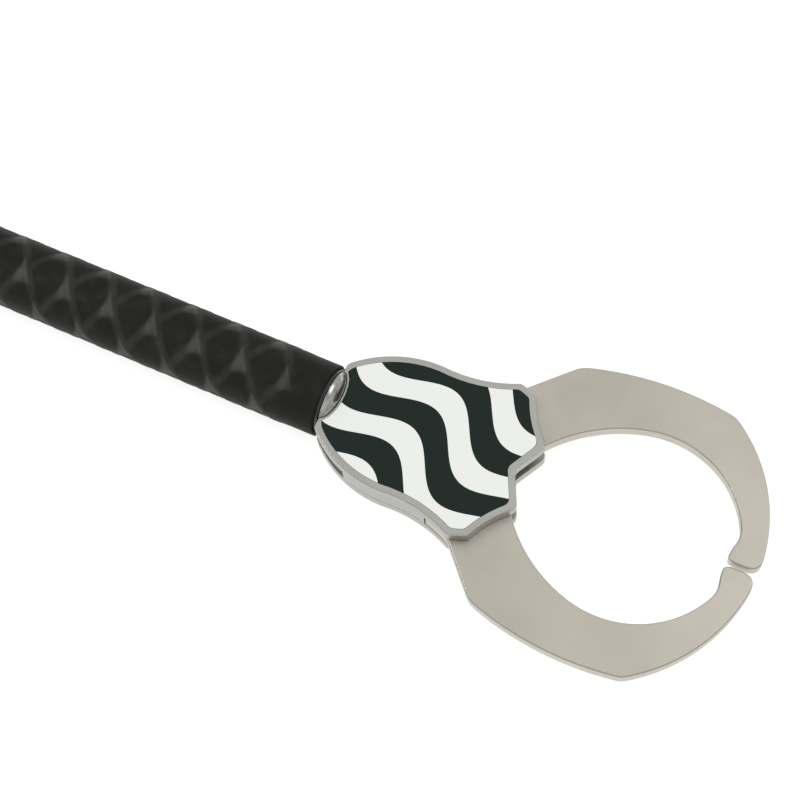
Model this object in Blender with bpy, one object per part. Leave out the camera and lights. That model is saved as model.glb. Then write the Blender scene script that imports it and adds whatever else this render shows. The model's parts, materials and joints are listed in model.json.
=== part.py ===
"""Tuna landing clamp: two steel jaws that close round a fish's tail, on a long handle.

The jaws turn on two bolts between the plates of a flat head. A toothed sector on each jaw meshes with
a rack plunger on the centre line, so both jaws always move together. The plunger's rod runs back into
the tube of the handle, where a compression spring pulls the plunger rearward and holds the jaws shut.
A tail that is pushed into the open jaws presses on the plunger's nose pad and closes them.

Metres, +Z up. X runs along the handle from the butt to the jaws, and Y is the left jaw's side.
The origin is the centre of the butt cap's end face. Shapes of the head are drawn round the centre of
the closed ring of the jaws, on the empty named ring_centre.
"""

import math

import bmesh
import bpy
from mathutils import Matrix, Vector

# Clearances
FIT_GAP = 0.0003  # between pieces that touch
RUNNING_GAP = 0.0002  # round the pivot bolts
JAW_PLAY = 0.00035  # above and below each jaw, between the plates
TOOTH_BACKLASH = 0.0003  # taken off each tooth's thickness
OVERRUN = 0.001  # how far a cutting or joining shape runs past the face it meets

# Handle
TUBE_LENGTH = 0.480
TUBE_OUTER_R = 0.015
TUBE_WALL = 0.0015
TUBE_SHOW = 0.0015  # bare tube between the grip sleeve and the head
CAP_WALL = 0.0023
CAP_FLOOR = 0.005
CAP_DEPTH = 0.0235
CAP_EDGE = 0.0025
CAP_LIP = 0.0008
CAP_GROOVES = 3
CAP_GROOVE_DEPTH = 0.0006
CAP_GROOVE_WIDTH = 0.0028  # half as wide at its bottom
SLEEVE_WALL = 0.0012
RIDGE_HEIGHT = 0.00035
RIDGE_WIDTH = 0.0072
RIDGE_LEAD = 0.0664  # one turn of a ridge along the handle
RIDGE_STARTS = 3  # ridges of each hand
RIDGE_BARE_END = 0.014  # plain sleeve at both ends
RIDGE_CROSSING = 0.03895  # a crossing of two ridges, back from the tube's front end
RIDGE_CROSSING_DEG = 100.0
SLEEVE_SIDES = 18

# Head plates, drawn round the centre of the ring
HEAD_REACH = 0.1398  # from the tube's front end to the centre of the ring
PLATE_THICKNESS = 0.0051
PLATE_CHAMFER = 0.0004
REAR_CORNER_Y = 0.0166
SIDE_BULGE = (-0.1225, 0.0281)
SIDE_WAIST = (-0.1010, 0.03225)
SIDE_HOLLOW = (-0.0837, 0.03285)
NECK_CORNER = (-0.0665, 0.0385)
BROW_CORNER = (-0.0584, 0.0357)
BROW_HOLLOW = (-0.0533, 0.0256)
NOSE_CORNER = (-0.0446, 0.0156)
NOTCH_X = -0.0526
NOTCH_ROUND = 0.0022
NOSE_CORNER_ROUND = 0.0030
FRONT_CORNER_ROUND = 0.0014
REAR_CORNER_ROUND = 0.0015
WALL_THICKNESS = 0.0092
WALL_REAR_X = -0.1200
WALL_FRONT_GAP = 0.0004  # round the hub of a jaw
RIM_WIDTH = 0.0033  # steel left round the inlay
REAR_RIM_WIDTH = 0.0005  # steel left between the inlay and the plug's dome
INLAY_REAR_Y = 0.0130
INLAY_THICKNESS = 0.0008
INLAY_REAR_STEPS = 8

# Plug that joins the head to the tube
PLUG_INSERT = 0.023
PLUG_FLANGE_STEP = 0.0003  # flange inside the tube's outer face
PLUG_CHAMFER = 0.0008
DOME_LENGTH = 0.0058
DOME_TURN_DEG = 80.0  # of its quarter ellipse, before its flat end
PLUG_PIN_R = 0.002
PLUG_PIN_LENGTH = 0.0075
PLUG_PIN_BACK = 0.0115  # from the tube's front end to the pins
FORK_FRONT_X = -0.0985
FORK_HALF_WIDTH = 0.0140
FORK_STOP_X = -0.1163  # the closed plunger rests just in front of this step
FORK_ROUND = 0.0020
FORK_SOLID_LENGTH = 0.0020  # ahead of the dome, before the slot for the rod

# Jaws, drawn for the left one
JAW_THICKNESS = 0.006
JAW_CHAMFER = 0.0005
TIP_HALF_GAP = 0.0010
TIP_X = 0.0564
TIP_ROUND = 0.0062
SHOULDER = (0.0224, 0.0636)
SHOULDER_ROUND = 0.0024
HEEL = (-0.0472, 0.0590)
HEEL_ROUND = 0.0035
FRONT_RISE = 0.0087  # bow of the edge between tip and shoulder
BACK_RISE = 0.0045  # bow of the edge between shoulder and heel
THROAT_CENTRE = (0.0015, -0.0012)
THROAT_R = 0.0447
THROAT_REAR_R = 0.0674
THROAT_BLEND_DEG = 105.0
NUB_START_Y = 0.0131
NUB_CREST = (0.0422, 0.0056)
NUB_END_X = 0.0423
NUB_START_ROUND = 0.0036
NUB_CREST_ROUND = 0.0022
NUB_END_ROUND = 0.0042
ROOT_Y = 0.0118  # inner edge of the jaw's root, between the plates
ROOT_AHEAD = 0.0090  # from the pivot to the rear end of that edge
HUB_R = 0.009
NECK_STEP = 0.0002  # a shut jaw's neck lies this far inside the side of the plates
JAW_OPENING_DEG = 30.0  # turn of each jaw from shut to open

# Gearing and pivots
MODULE = 0.0015
FULL_TEETH = 24  # teeth that a whole gear of the sector's size would have
SECTOR_TEETH = range(-3, 2)  # numbered from the tooth in mesh when the jaws are shut
RACK_TEETH = range(-4, 2)
PRESSURE_ANGLE = math.radians(20.0)
RACK_PITCH_Y = 0.008  # half distance between the rack's two pitch lines
PIVOT_X = -0.0740
PIVOT_BOLT_R = 0.004
PIVOT_HEAD_R = 0.0072
PIVOT_SOCKET_FLATS = 0.0050
PIVOT_SOCKET_DEPTH = 0.0028
BUSH_WALL = 0.0012
BOLT_GRIP = 0.0030  # length of thread in the upper plate

# Plunger, rod and spring
NOSE_HALF_WIDTH = 0.0060
NOSE_LENGTH = 0.0048
NOSE_ROUND = 0.0008
PAD_LENGTH = 0.0042
PAD_ROUND = 0.0020
TENON_HALF_WIDTH = 0.0025
TENON_LENGTH = 0.0020
ROD_R = 0.003
ROD_CHAMFER = 0.0006
ROD_TONGUE_LENGTH = 0.011
ROD_TONGUE_THICKNESS = 0.0022
ROD_TONGUE_WIDTH = 0.0050
ROD_PIN_R = 0.0014
ROD_PIN_LENGTH = 0.0054
SPRING_SPARE = 0.0228  # closed length left to compress beyond the plunger's travel
SPRING_MEAN_R = 0.0070
SPRING_WIRE_R = 0.0008
SPRING_TURNS = 8
SPRING_END_TURN_PITCH = 0.0023
WASHER_R = 0.0090
WASHER_THICKNESS = 0.0016
NUT_FLATS = 0.010
NUT_THICKNESS = 0.0045
ROD_END_SHOW = 0.0025

# Screws that hold the cover plate
SCREW_R = 0.002
SCREW_HEAD_R = 0.0039
SCREW_HEAD_RIM = 0.0004
SCREW_GRIP = 0.0030
SCREW_SOCKET_FLATS = 0.0025
SCREW_SOCKET_DEPTH = 0.0020
FORK_SCREW_AHEAD = 0.0120  # rear screw of the fork, ahead of the plates' rear edge
FORK_SCREW_BACK = 0.0060  # front screw of the fork, behind its front end
WALL_SCREW_AHEAD = 0.0075  # rear screw of a wall, ahead of the wall's rear end
WALL_SCREW_BACK = 0.0165  # front screw of a wall, behind the pivots

# How finely round shapes are cut
ARC_SAG = 0.00004  # most that a chord may leave its arc
ROUND_SIDES = 32
SMALL_SIDES = 16
CORNER_STEPS = 4
CORNER_STEP_REACH = 0.0008  # most reach that a wide corner has for each of its steps
CORNER_SHARE = 0.48  # most of the way to the next rounded corner that a corner may take
SIDE_SEARCH_DEG = 0.5
SMOOTH_BELOW_DEG = 30.0
DOME_STEPS = 8
SIDE_STEPS = 6
SPRING_POINTS_PER_TURN = 10

# Sizes that follow
TUBE_INNER_R = TUBE_OUTER_R - TUBE_WALL
TUBE_START = CAP_FLOOR + FIT_GAP
TUBE_END = TUBE_START + TUBE_LENGTH
RING_X = TUBE_END + HEAD_REACH
SLEEVE_INNER_R = TUBE_OUTER_R + FIT_GAP
SLEEVE_START = CAP_FLOOR + CAP_DEPTH + FIT_GAP
SLEEVE_END = TUBE_END - TUBE_SHOW
PLUG_FLANGE_R = TUBE_OUTER_R - PLUG_FLANGE_STEP
TUBE_END_X = -HEAD_REACH
REAR_X = TUBE_END_X + FIT_GAP
HALF_GAP = JAW_THICKNESS / 2 + JAW_PLAY
HEAD_TOP = HALF_GAP + PLATE_THICKNESS
DEDENDUM = 1.25 * MODULE
SECTOR_PITCH_R = MODULE * FULL_TEETH / 2
PIVOT_Y = RACK_PITCH_Y + SECTOR_PITCH_R
PIVOT = (PIVOT_X, PIVOT_Y)
BUSH_INNER_R = PIVOT_BOLT_R + RUNNING_GAP
BUSH_OUTER_R = BUSH_INNER_R + BUSH_WALL
JAW_BORE_R = BUSH_OUTER_R + FIT_GAP
RACK_ROOT_Y = RACK_PITCH_Y - DEDENDUM
RACK_TIP_Y = RACK_PITCH_Y + MODULE
RACK_PITCH = math.pi * MODULE
RACK_REAR_X = FORK_STOP_X + FIT_GAP
PLUNGER_TRAVEL = SECTOR_PITCH_R * math.radians(JAW_OPENING_DEG)
SPRING_LENGTH = SPRING_TURNS * 2 * SPRING_WIRE_R + PLUNGER_TRAVEL + SPRING_SPARE
SPRING_FRONT_X = TUBE_END_X - PLUG_INSERT - FIT_GAP
WASHER_FRONT_X = SPRING_FRONT_X - SPRING_LENGTH - FIT_GAP


# Flat outlines are lists of (x, y) or (x, y, reach), counter-clockwise from above. A reach above zero
# rounds that corner, starting that far before it and ending that far after it.


def arc(centre, radius, start_deg, end_deg):
    """Points along an arc, both ends included."""
    step_deg = 2 * math.degrees(math.acos(1 - ARC_SAG / radius))
    steps = max(2, math.ceil(abs(end_deg - start_deg) / step_deg))
    points = []
    for i in range(steps + 1):
        angle = math.radians(start_deg + (end_deg - start_deg) * i / steps)
        points.append((centre[0] + radius * math.cos(angle), centre[1] + radius * math.sin(angle)))
    return points


def arc_through(start, middle, end):
    """Arc from start to end by way of middle, without its end point."""
    (ax, ay), (bx, by), (cx, cy) = start, middle, end
    d = 2 * (ax * (by - cy) + bx * (cy - ay) + cx * (ay - by))
    a2, b2, c2 = ax * ax + ay * ay, bx * bx + by * by, cx * cx + cy * cy
    ux = (a2 * (by - cy) + b2 * (cy - ay) + c2 * (ay - by)) / d
    uy = (a2 * (cx - bx) + b2 * (ax - cx) + c2 * (bx - ax)) / d
    first = math.degrees(math.atan2(ay - uy, ax - ux))
    last = math.degrees(math.atan2(cy - uy, cx - ux))
    turn = (last - first + 180) % 360 - 180
    return arc((ux, uy), math.hypot(ax - ux, ay - uy), first, first + turn)[:-1]


def bowed(start, end, rise):
    """Arc from start to end that stands out to the right of the way by rise, without its end point."""
    dx, dy = end[0] - start[0], end[1] - start[1]
    length = math.hypot(dx, dy)
    middle = ((start[0] + end[0]) / 2 + dy / length * rise, (start[1] + end[1]) / 2 - dx / length * rise)
    return arc_through(start, middle, end)


def polar(centre, radius, degrees):
    angle = math.radians(degrees)
    return (centre[0] + radius * math.cos(angle), centre[1] + radius * math.sin(angle))


def rounded(point, reach):
    return (point[0], point[1], reach)


def flipped(outline):
    """Mirror image in Y, still counter-clockwise."""
    return [(p[0], -p[1], *p[2:]) for p in reversed(outline)]


def reach_of(point):
    return point[2] if len(point) > 2 else 0.0


def rounding_end(outline, i, way):
    """Where the rounding of corner i ends on one side, and which points of the outline it takes up."""
    line = [i]
    while len(line) == 1 or not reach_of(outline[line[-1]]):
        line.append((line[-1] + way) % len(outline))
    places = [Vector(outline[j][:2]) for j in line]
    steps = [(q - p).length for p, q in zip(places, places[1:])]
    left = min(reach_of(outline[i]), CORNER_SHARE * sum(steps))
    k = 0
    while left > steps[k]:
        left -= steps[k]
        k += 1
    return places[k].lerp(places[k + 1], left / steps[k]), line[1 : k + 1]


def soften(outline):
    """Outline with a smooth curve in place of each corner that has a reach."""
    curves, taken = {}, set()
    for i, p in enumerate(outline):
        if reach_of(p):
            first, passed_before = rounding_end(outline, i, -1)
            last, passed_after = rounding_end(outline, i, 1)
            curves[i] = (first, last)
            taken.update(passed_before, passed_after)
    points = []
    for i, p in enumerate(outline):
        if i in curves:
            first, here, last = curves[i][0], Vector(p[:2]), curves[i][1]
            steps = max(CORNER_STEPS, math.ceil(reach_of(p) / CORNER_STEP_REACH))
            for k in range(steps + 1):
                t = k / steps
                q = first * (1 - t) ** 2 + here * (2 * t * (1 - t)) + last * t**2
                points.append((q.x, q.y))
        elif i not in taken:
            points.append((p[0], p[1]))
    return points


def inset(outline, distances):
    """Outline moved inward by a distance, or by one distance for each point."""
    if not isinstance(distances, list):
        distances = [distances] * len(outline)
    moved = []
    for i, (p, distance) in enumerate(zip(outline, distances)):
        here = Vector(p[:2])
        back = (here - Vector(outline[i - 1][:2])).normalized()
        ahead = (Vector(outline[(i + 1) % len(outline)][:2]) - here).normalized()
        n1, n2 = Vector((-back.y, back.x)), Vector((-ahead.y, ahead.x))
        q = here + (n1 + n2) * distance / (1 + n1.dot(n2))
        moved.append((q.x, q.y, *p[2:]))
    return moved


# Meshes and objects


def bare_object(name, bm, parent=None, pivot=(0, 0, 0)):
    """Object from a bmesh drawn in its parent's frame, with its origin moved to pivot."""
    bmesh.ops.recalc_face_normals(bm, faces=bm.faces)
    mesh = bpy.data.meshes.new(name)
    bm.to_mesh(mesh)
    bm.free()
    mesh.transform(Matrix.Translation(-Vector(pivot)))
    obj = bpy.data.objects.new(name, mesh)
    obj.location = pivot
    obj.parent = parent
    bpy.context.collection.objects.link(obj)
    return obj


def dress(obj, finish):
    """Gives an object a material of its own."""
    colour, metallic, roughness = finish
    material = bpy.data.materials.new(obj.name + "_finish")
    material.use_nodes = True
    shader = material.node_tree.nodes["Principled BSDF"]
    shader.inputs["Base Color"].default_value = (*colour, 1.0)
    shader.inputs["Metallic"].default_value = metallic
    shader.inputs["Roughness"].default_value = roughness
    obj.data.materials.append(material)


def piece(name, bm, finish, parent=None, pivot=(0, 0, 0)):
    """A physical piece, with its own material and smooth shading between its sharp edges."""
    obj = bare_object(name, bm, parent, pivot)
    obj.data.shade_smooth()
    obj.data.set_sharp_from_angle(angle=math.radians(SMOOTH_BELOW_DEG))
    dress(obj, finish)
    return obj


def combine(target, name, bm, operation):
    """Changes the target by the shape of a bmesh that is drawn in the frame of the target's parent."""
    tool = bare_object(name, bm, target.parent)
    tool.hide_render = True
    tool.display_type = "WIRE"
    boolean = target.modifiers.new(name, "BOOLEAN")
    boolean.operation = operation
    boolean.object = tool


def cut(target, name, bm):
    combine(target, name, bm, "DIFFERENCE")


def join(target, name, bm):
    combine(target, name, bm, "UNION")


def skin(bm, loops, closed=False):
    """Faces between loops of equally many points, with a cap at each end or joined into a ring."""
    rings = [[bm.verts.new(p) for p in loop] for loop in loops]
    pairs = list(zip(rings, rings[1:]))
    if closed:
        pairs.append((rings[-1], rings[0]))
    else:
        bm.faces.new(rings[0])
        bm.faces.new(rings[-1])
    for lower, upper in pairs:
        for i in range(len(lower)):
            j = (i + 1) % len(lower)
            bm.faces.new((lower[i], lower[j], upper[j], upper[i]))


def stack(levels):
    """Solid through flat outlines at rising heights: (outline, z), (outline, z) and so on."""
    bm = bmesh.new()
    skin(bm, [[(p[0], p[1], z) for p in outline] for outline, z in levels])
    return bm


def prism(outline, low, high):
    """Outline extruded upward from low to high."""
    bm = bmesh.new()
    face = bm.faces.new([bm.verts.new((p[0], p[1], low)) for p in outline])
    grown = bmesh.ops.extrude_face_region(bm, geom=[face])["geom"]
    top = [v for v in grown if isinstance(v, bmesh.types.BMVert)]
    bmesh.ops.translate(bm, verts=top, vec=(0, 0, high - low))
    return bm


def turned(profile, axis="Z", at=(0, 0, 0), sides=ROUND_SIDES, closed=False, bm=None):
    """Solid of revolution through (place along the axis, radius) points. A closed one has a bore."""
    bm = bm or bmesh.new()
    loops = []
    for along, radius in profile:
        loop = []
        for i in range(sides):
            angle = 2 * math.pi * (i + 0.5) / sides
            across, up = radius * math.cos(angle), radius * math.sin(angle)
            offsets = {"X": (along, across, up), "Y": (up, along, across), "Z": (across, up, along)}
            loop.append(Vector(at) + Vector(offsets[axis]))
        loops.append(loop)
    skin(bm, loops, closed)
    return bm


def block(low, high):
    """Box between two corners."""
    bm = bmesh.new()
    bmesh.ops.create_cube(bm, size=1.0)
    place = Matrix.Translation((Vector(low) + Vector(high)) / 2)
    size = Matrix.Diagonal((Vector(high) - Vector(low)).to_4d())
    bmesh.ops.transform(bm, matrix=place @ size, verts=bm.verts)
    return bm


def hexagon(flats):
    corner_r = flats / math.sqrt(3)
    return [polar((0, 0), corner_r, 60 * i) for i in range(6)]


# Finishes: colour, metallic, roughness
STEEL = ((0.47, 0.45, 0.40), 1.0, 0.35)
PLATE_STEEL = ((0.42, 0.42, 0.39), 1.0, 0.35)
DARK_STEEL = ((0.25, 0.25, 0.24), 1.0, 0.4)
ALUMINIUM = ((0.55, 0.55, 0.53), 1.0, 0.4)
BLACK_ANODISED = ((0.02, 0.02, 0.02), 0.6, 0.25)
BRONZE = ((0.45, 0.30, 0.14), 1.0, 0.4)
RUBBER = ((0.03, 0.03, 0.028), 0.0, 0.6)
PANEL_BLACK = ((0.022, 0.026, 0.025), 0.0, 0.35)


# Handle


def make_tube():
    profile = [
        (TUBE_START, TUBE_OUTER_R),
        (TUBE_END, TUBE_OUTER_R),
        (TUBE_END, TUBE_INNER_R),
        (TUBE_START, TUBE_INNER_R),
    ]
    tube = piece("handle_tube", turned(profile, "X", closed=True), BLACK_ANODISED)
    hole_r = PLUG_PIN_R + FIT_GAP
    holes = bmesh.new()
    for sign in (-1, 1):
        reach = [(sign * (TUBE_INNER_R - OVERRUN), hole_r), (sign * (TUBE_OUTER_R + OVERRUN), hole_r)]
        turned(reach, "Y", (TUBE_END - PLUG_PIN_BACK, 0, 0), SMALL_SIDES, bm=holes)
    cut(tube, "tube_pin_holes", holes)


def make_butt_cap():
    bore_r = TUBE_OUTER_R + FIT_GAP
    outer_r = bore_r + CAP_WALL
    mouth = CAP_FLOOR + CAP_DEPTH
    profile = []
    for i in range(CORNER_STEPS + 1):
        angle = math.pi / 2 * i / CORNER_STEPS
        profile.append((CAP_EDGE * (1 - math.sin(angle)), outer_r - CAP_EDGE * (1 - math.cos(angle))))
    profile.reverse()
    pitch = (mouth - 2 * CAP_EDGE) / (CAP_GROOVES + 1)
    for i in range(1, CAP_GROOVES + 1):
        middle = CAP_EDGE + pitch * i
        profile += [
            (middle - CAP_GROOVE_WIDTH / 2, outer_r),
            (middle - CAP_GROOVE_WIDTH / 4, outer_r - CAP_GROOVE_DEPTH),
            (middle + CAP_GROOVE_WIDTH / 4, outer_r - CAP_GROOVE_DEPTH),
            (middle + CAP_GROOVE_WIDTH / 2, outer_r),
        ]
    profile += [(mouth - CAP_LIP, outer_r), (mouth, outer_r - CAP_LIP)]
    profile += [(mouth, bore_r), (CAP_FLOOR, bore_r)]
    piece("butt_cap", turned(profile, "X"), RUBBER)


def ridge(x, degrees):
    """Height of the crossed ridges above the sleeve's plain surface."""
    pitch = RIDGE_LEAD / RIDGE_STARTS
    slope = math.cos(math.atan2(RIDGE_LEAD, 2 * math.pi * (SLEEVE_INNER_R + SLEEVE_WALL)))
    turn = (degrees - RIDGE_CROSSING_DEG) / 360
    height = 0.0
    for hand in (-1, 1):
        along = x - (TUBE_END - RIDGE_CROSSING) - hand * RIDGE_LEAD * turn
        off = abs((along + pitch / 2) % pitch - pitch / 2) * slope
        if off < RIDGE_WIDTH / 2:
            height = max(height, RIDGE_HEIGHT * math.cos(math.pi / 2 * off / (RIDGE_WIDTH / 2)))
    return height


def make_sleeve():
    """Shrink-fit sleeve whose ridges cross in long diamonds all round the handle."""
    around = [RIDGE_CROSSING_DEG + 360 * i / SLEEVE_SIDES for i in range(SLEEVE_SIDES)]
    step = RIDGE_LEAD / SLEEVE_SIDES
    crossing = TUBE_END - RIDGE_CROSSING
    first = math.ceil((SLEEVE_START + RIDGE_BARE_END - crossing) / step)
    last = math.floor((SLEEVE_END - RIDGE_BARE_END - crossing) / step)
    rows = [(SLEEVE_START, False), (crossing + (first - 1) * step, False)]
    rows += [(crossing + i * step, True) for i in range(first, last + 1)]
    rows += [(crossing + (last + 1) * step, False), (SLEEVE_END, False)]
    loops = []
    for x, ridged in rows:
        loop = []
        for degrees in around:
            radius = SLEEVE_INNER_R + SLEEVE_WALL + (ridge(x, degrees) if ridged else 0)
            loop.append((x, *polar((0, 0), radius, degrees)))
        loops.append(loop)
    bore_corner_r = SLEEVE_INNER_R / math.cos(math.pi / SLEEVE_SIDES)
    for x in (SLEEVE_END, SLEEVE_START):
        loops.append([(x, *polar((0, 0), bore_corner_r, degrees)) for degrees in around])
    bm = bmesh.new()
    skin(bm, loops, closed=True)
    piece("grip_sleeve", bm, RUBBER)


# Head


def plate_outline():
    """Half of the head from the notch to the rear, then its mirror image. Its corners have a reach."""
    half = [rounded((NOTCH_X, 0), NOTCH_ROUND), rounded(NOSE_CORNER, NOSE_CORNER_ROUND)]
    half += arc_through(NOSE_CORNER, BROW_HOLLOW, BROW_CORNER)[1:]
    half += [rounded(BROW_CORNER, FRONT_CORNER_ROUND), rounded(NECK_CORNER, FRONT_CORNER_ROUND)]
    half += arc_through(NECK_CORNER, SIDE_HOLLOW, SIDE_WAIST)[1:]
    half += arc_through(SIDE_WAIST, SIDE_BULGE, (REAR_X, REAR_CORNER_Y))
    half += [rounded((REAR_X, REAR_CORNER_Y), REAR_CORNER_ROUND)]
    return half + flipped(half)[:-1]


def dome_profile(clearance=0.0):
    """Plug's domed nose, as (x, radius), from its flange to its flattened end."""
    length, radius = DOME_LENGTH + clearance, PLUG_FLANGE_R + clearance
    angles = [math.radians(DOME_TURN_DEG * i / DOME_STEPS) for i in range(DOME_STEPS + 1)]
    return [(REAR_X + length * math.sin(a), radius * math.cos(a)) for a in angles]


def dome_reach(y, z, clearance):
    """How far the plug's domed nose reaches forward of its flange at a height."""
    length, radius = DOME_LENGTH + clearance, PLUG_FLANGE_R + clearance
    return length * math.sqrt(1 - (y * y + z * z) / radius**2)


def inlay_outline():
    """Plate outline less its rim, with a rear edge that follows the plug's dome."""
    floor = HEAD_TOP - INLAY_THICKNESS - FIT_GAP
    clearance = 2 * FIT_GAP + REAR_RIM_WIDTH
    rear = []
    for i in range(INLAY_REAR_STEPS + 1):
        y = INLAY_REAR_Y * (1 - 2 * i / INLAY_REAR_STEPS)
        rear.append((REAR_X + dome_reach(y, floor, clearance), y))
    around = [p for p in inset(plate_outline(), RIM_WIDTH) if p[0] > rear[0][0] + REAR_RIM_WIDTH]
    left = [p for p in around if p[1] > -FIT_GAP]
    return left + rear + [p for p in around if p not in left]


def side_y(x):
    """Half width of the head where its side passes x."""
    side = [p for p in plate_outline() if p[0] <= NECK_CORNER[0] and p[1] > 0]
    for p, q in zip(side, side[1:]):
        if q[0] <= x <= p[0]:
            return p[1] + (q[1] - p[1]) * (x - p[0]) / (q[0] - p[0])
    return REAR_CORNER_Y


def side_points(x_front, x_rear, depth):
    """Line that follows the side from front to rear, a depth inside it."""
    places = [x_front + (x_rear - x_front) * i / SIDE_STEPS for i in range(SIDE_STEPS + 1)]
    return [(x, side_y(x) - depth) for x in places]


def meets_side(radius, depth):
    """Angle at which a circle round the left pivot crosses the line a depth inside the side, behind it."""
    degrees = 180.0
    x, y = polar(PIVOT, radius, degrees)
    while y < side_y(x) - depth and degrees > 90:
        degrees -= SIDE_SEARCH_DEG
        x, y = polar(PIVOT, radius, degrees)
    return degrees


def pocket_outline():
    """Room between the plates. What it leaves of the housing are its two side walls."""
    clear_y = BROW_CORNER[1] + NECK_CORNER[1]
    hub_room_r = HUB_R + WALL_FRONT_GAP
    outer_deg = meets_side(hub_room_r, 0)
    wall_inside_y = side_y(PIVOT_X - hub_room_r) - WALL_THICKNESS
    inner_deg = 180 - math.degrees(math.asin((wall_inside_y - PIVOT_Y) / hub_room_r))
    front = arc(PIVOT, hub_room_r, outer_deg, inner_deg)
    half = [(0, 0), (0, clear_y), (front[0][0], clear_y)] + front
    half += side_points(front[-1][0] - FIT_GAP, WALL_REAR_X, WALL_THICKNESS)
    half += [(WALL_REAR_X, clear_y), (REAR_X - OVERRUN, clear_y)]
    return half + flipped(half)[:-1]


def screw_profile(head_r, shank_r, top, clearance=0.0):
    """Countersunk screw from below, flush with the cover, as (z, radius)."""
    low = -HEAD_TOP - (OVERRUN if clearance else 0)
    cone_start = SCREW_HEAD_RIM - HEAD_TOP
    cone_end = cone_start + head_r - shank_r
    wide, narrow = head_r + clearance, shank_r + clearance
    return [(low, wide), (cone_start, wide), (cone_end, narrow), (top + clearance, narrow)]


def screw_places():
    """Cover screws by name: four in the fork's prongs and four in the side walls."""
    places = {}
    prong_y = (FORK_HALF_WIDTH + RACK_ROOT_Y + FIT_GAP) / 2
    fork_xs = {"rear": REAR_X + FORK_SCREW_AHEAD, "front": FORK_FRONT_X - FORK_SCREW_BACK}
    wall_xs = {"rear": WALL_REAR_X + WALL_SCREW_AHEAD, "front": PIVOT_X - WALL_SCREW_BACK}
    for side, sign in (("left", 1), ("right", -1)):
        for row, x in fork_xs.items():
            places[f"fork_screw_{side}_{row}"] = (x, sign * prong_y)
        for row, x in wall_xs.items():
            places[f"wall_screw_{side}_{row}"] = (x, sign * (side_y(x) - WALL_THICKNESS / 2))
    return places


def head_holes():
    """All holes for screws and pivot bolts, from below the cover up into the upper plate."""
    bm = bmesh.new()
    for x, y in screw_places().values():
        profile = screw_profile(SCREW_HEAD_R, SCREW_R, HALF_GAP + SCREW_GRIP, FIT_GAP)
        turned(profile, at=(x, y, 0), sides=SMALL_SIDES, bm=bm)
    for sign in (-1, 1):
        profile = screw_profile(PIVOT_HEAD_R, PIVOT_BOLT_R, HALF_GAP + BOLT_GRIP, FIT_GAP)
        turned(profile, at=(PIVOT_X, sign * PIVOT_Y, 0), sides=ROUND_SIDES, bm=bm)
    return bm


def dome_clearance():
    """Room for the plug's dome in the rear edges of the plates."""
    return turned([(REAR_X - OVERRUN, PLUG_FLANGE_R + FIT_GAP)] + dome_profile(FIT_GAP), "X")


def make_housing(parent):
    outline = plate_outline()
    full, bevelled = soften(outline), inset(soften(outline), PLATE_CHAMFER)
    levels = [(full, FIT_GAP - HALF_GAP), (full, HEAD_TOP - PLATE_CHAMFER), (bevelled, HEAD_TOP)]
    housing = piece("head_housing", stack(levels), PLATE_STEEL, parent)
    cut(housing, "housing_pocket", prism(pocket_outline(), -HEAD_TOP, HALF_GAP))
    recess = soften(inset(inlay_outline(), -FIT_GAP))
    floor = HEAD_TOP - INLAY_THICKNESS - FIT_GAP
    cut(housing, "inlay_recess", prism(recess, floor, HEAD_TOP + OVERRUN))
    cut(housing, "housing_dome_room", dome_clearance())
    cut(housing, "housing_holes", head_holes())
    panel = prism(soften(inlay_outline()), HEAD_TOP - INLAY_THICKNESS, HEAD_TOP)
    piece("inlay_panel", panel, PANEL_BLACK, parent)


def make_cover(parent):
    full = soften(plate_outline())
    bevelled = inset(full, PLATE_CHAMFER)
    levels = [(bevelled, -HEAD_TOP), (full, PLATE_CHAMFER - HEAD_TOP), (full, -HALF_GAP)]
    cover = piece("head_cover", stack(levels), PLATE_STEEL, parent)
    cut(cover, "cover_dome_room", dome_clearance())
    cut(cover, "cover_holes", head_holes())


def make_screws(parent):
    for name, (x, y) in screw_places().items():
        profile = screw_profile(SCREW_HEAD_R, SCREW_R, HALF_GAP + SCREW_GRIP)
        screw = piece(name, turned(profile, at=(x, y, 0), sides=SMALL_SIDES), DARK_STEEL, parent)
        cut_socket(screw, (x, y), SCREW_SOCKET_FLATS, SCREW_SOCKET_DEPTH)
    for side, sign in (("left", 1), ("right", -1)):
        at = (PIVOT_X, sign * PIVOT_Y)
        profile = screw_profile(PIVOT_HEAD_R, PIVOT_BOLT_R, HALF_GAP + BOLT_GRIP)
        bolt = piece(f"{side}_pivot_bolt", turned(profile, at=(*at, 0)), DARK_STEEL, parent)
        cut_socket(bolt, at, PIVOT_SOCKET_FLATS, PIVOT_SOCKET_DEPTH)


def cut_socket(screw, at, flats, depth):
    """Hexagon socket in a screw's head."""
    hole = [(x + at[0], y + at[1]) for x, y in hexagon(flats)]
    cut(screw, screw.name + "_socket", prism(hole, -HEAD_TOP - OVERRUN, depth - HEAD_TOP))


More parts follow.
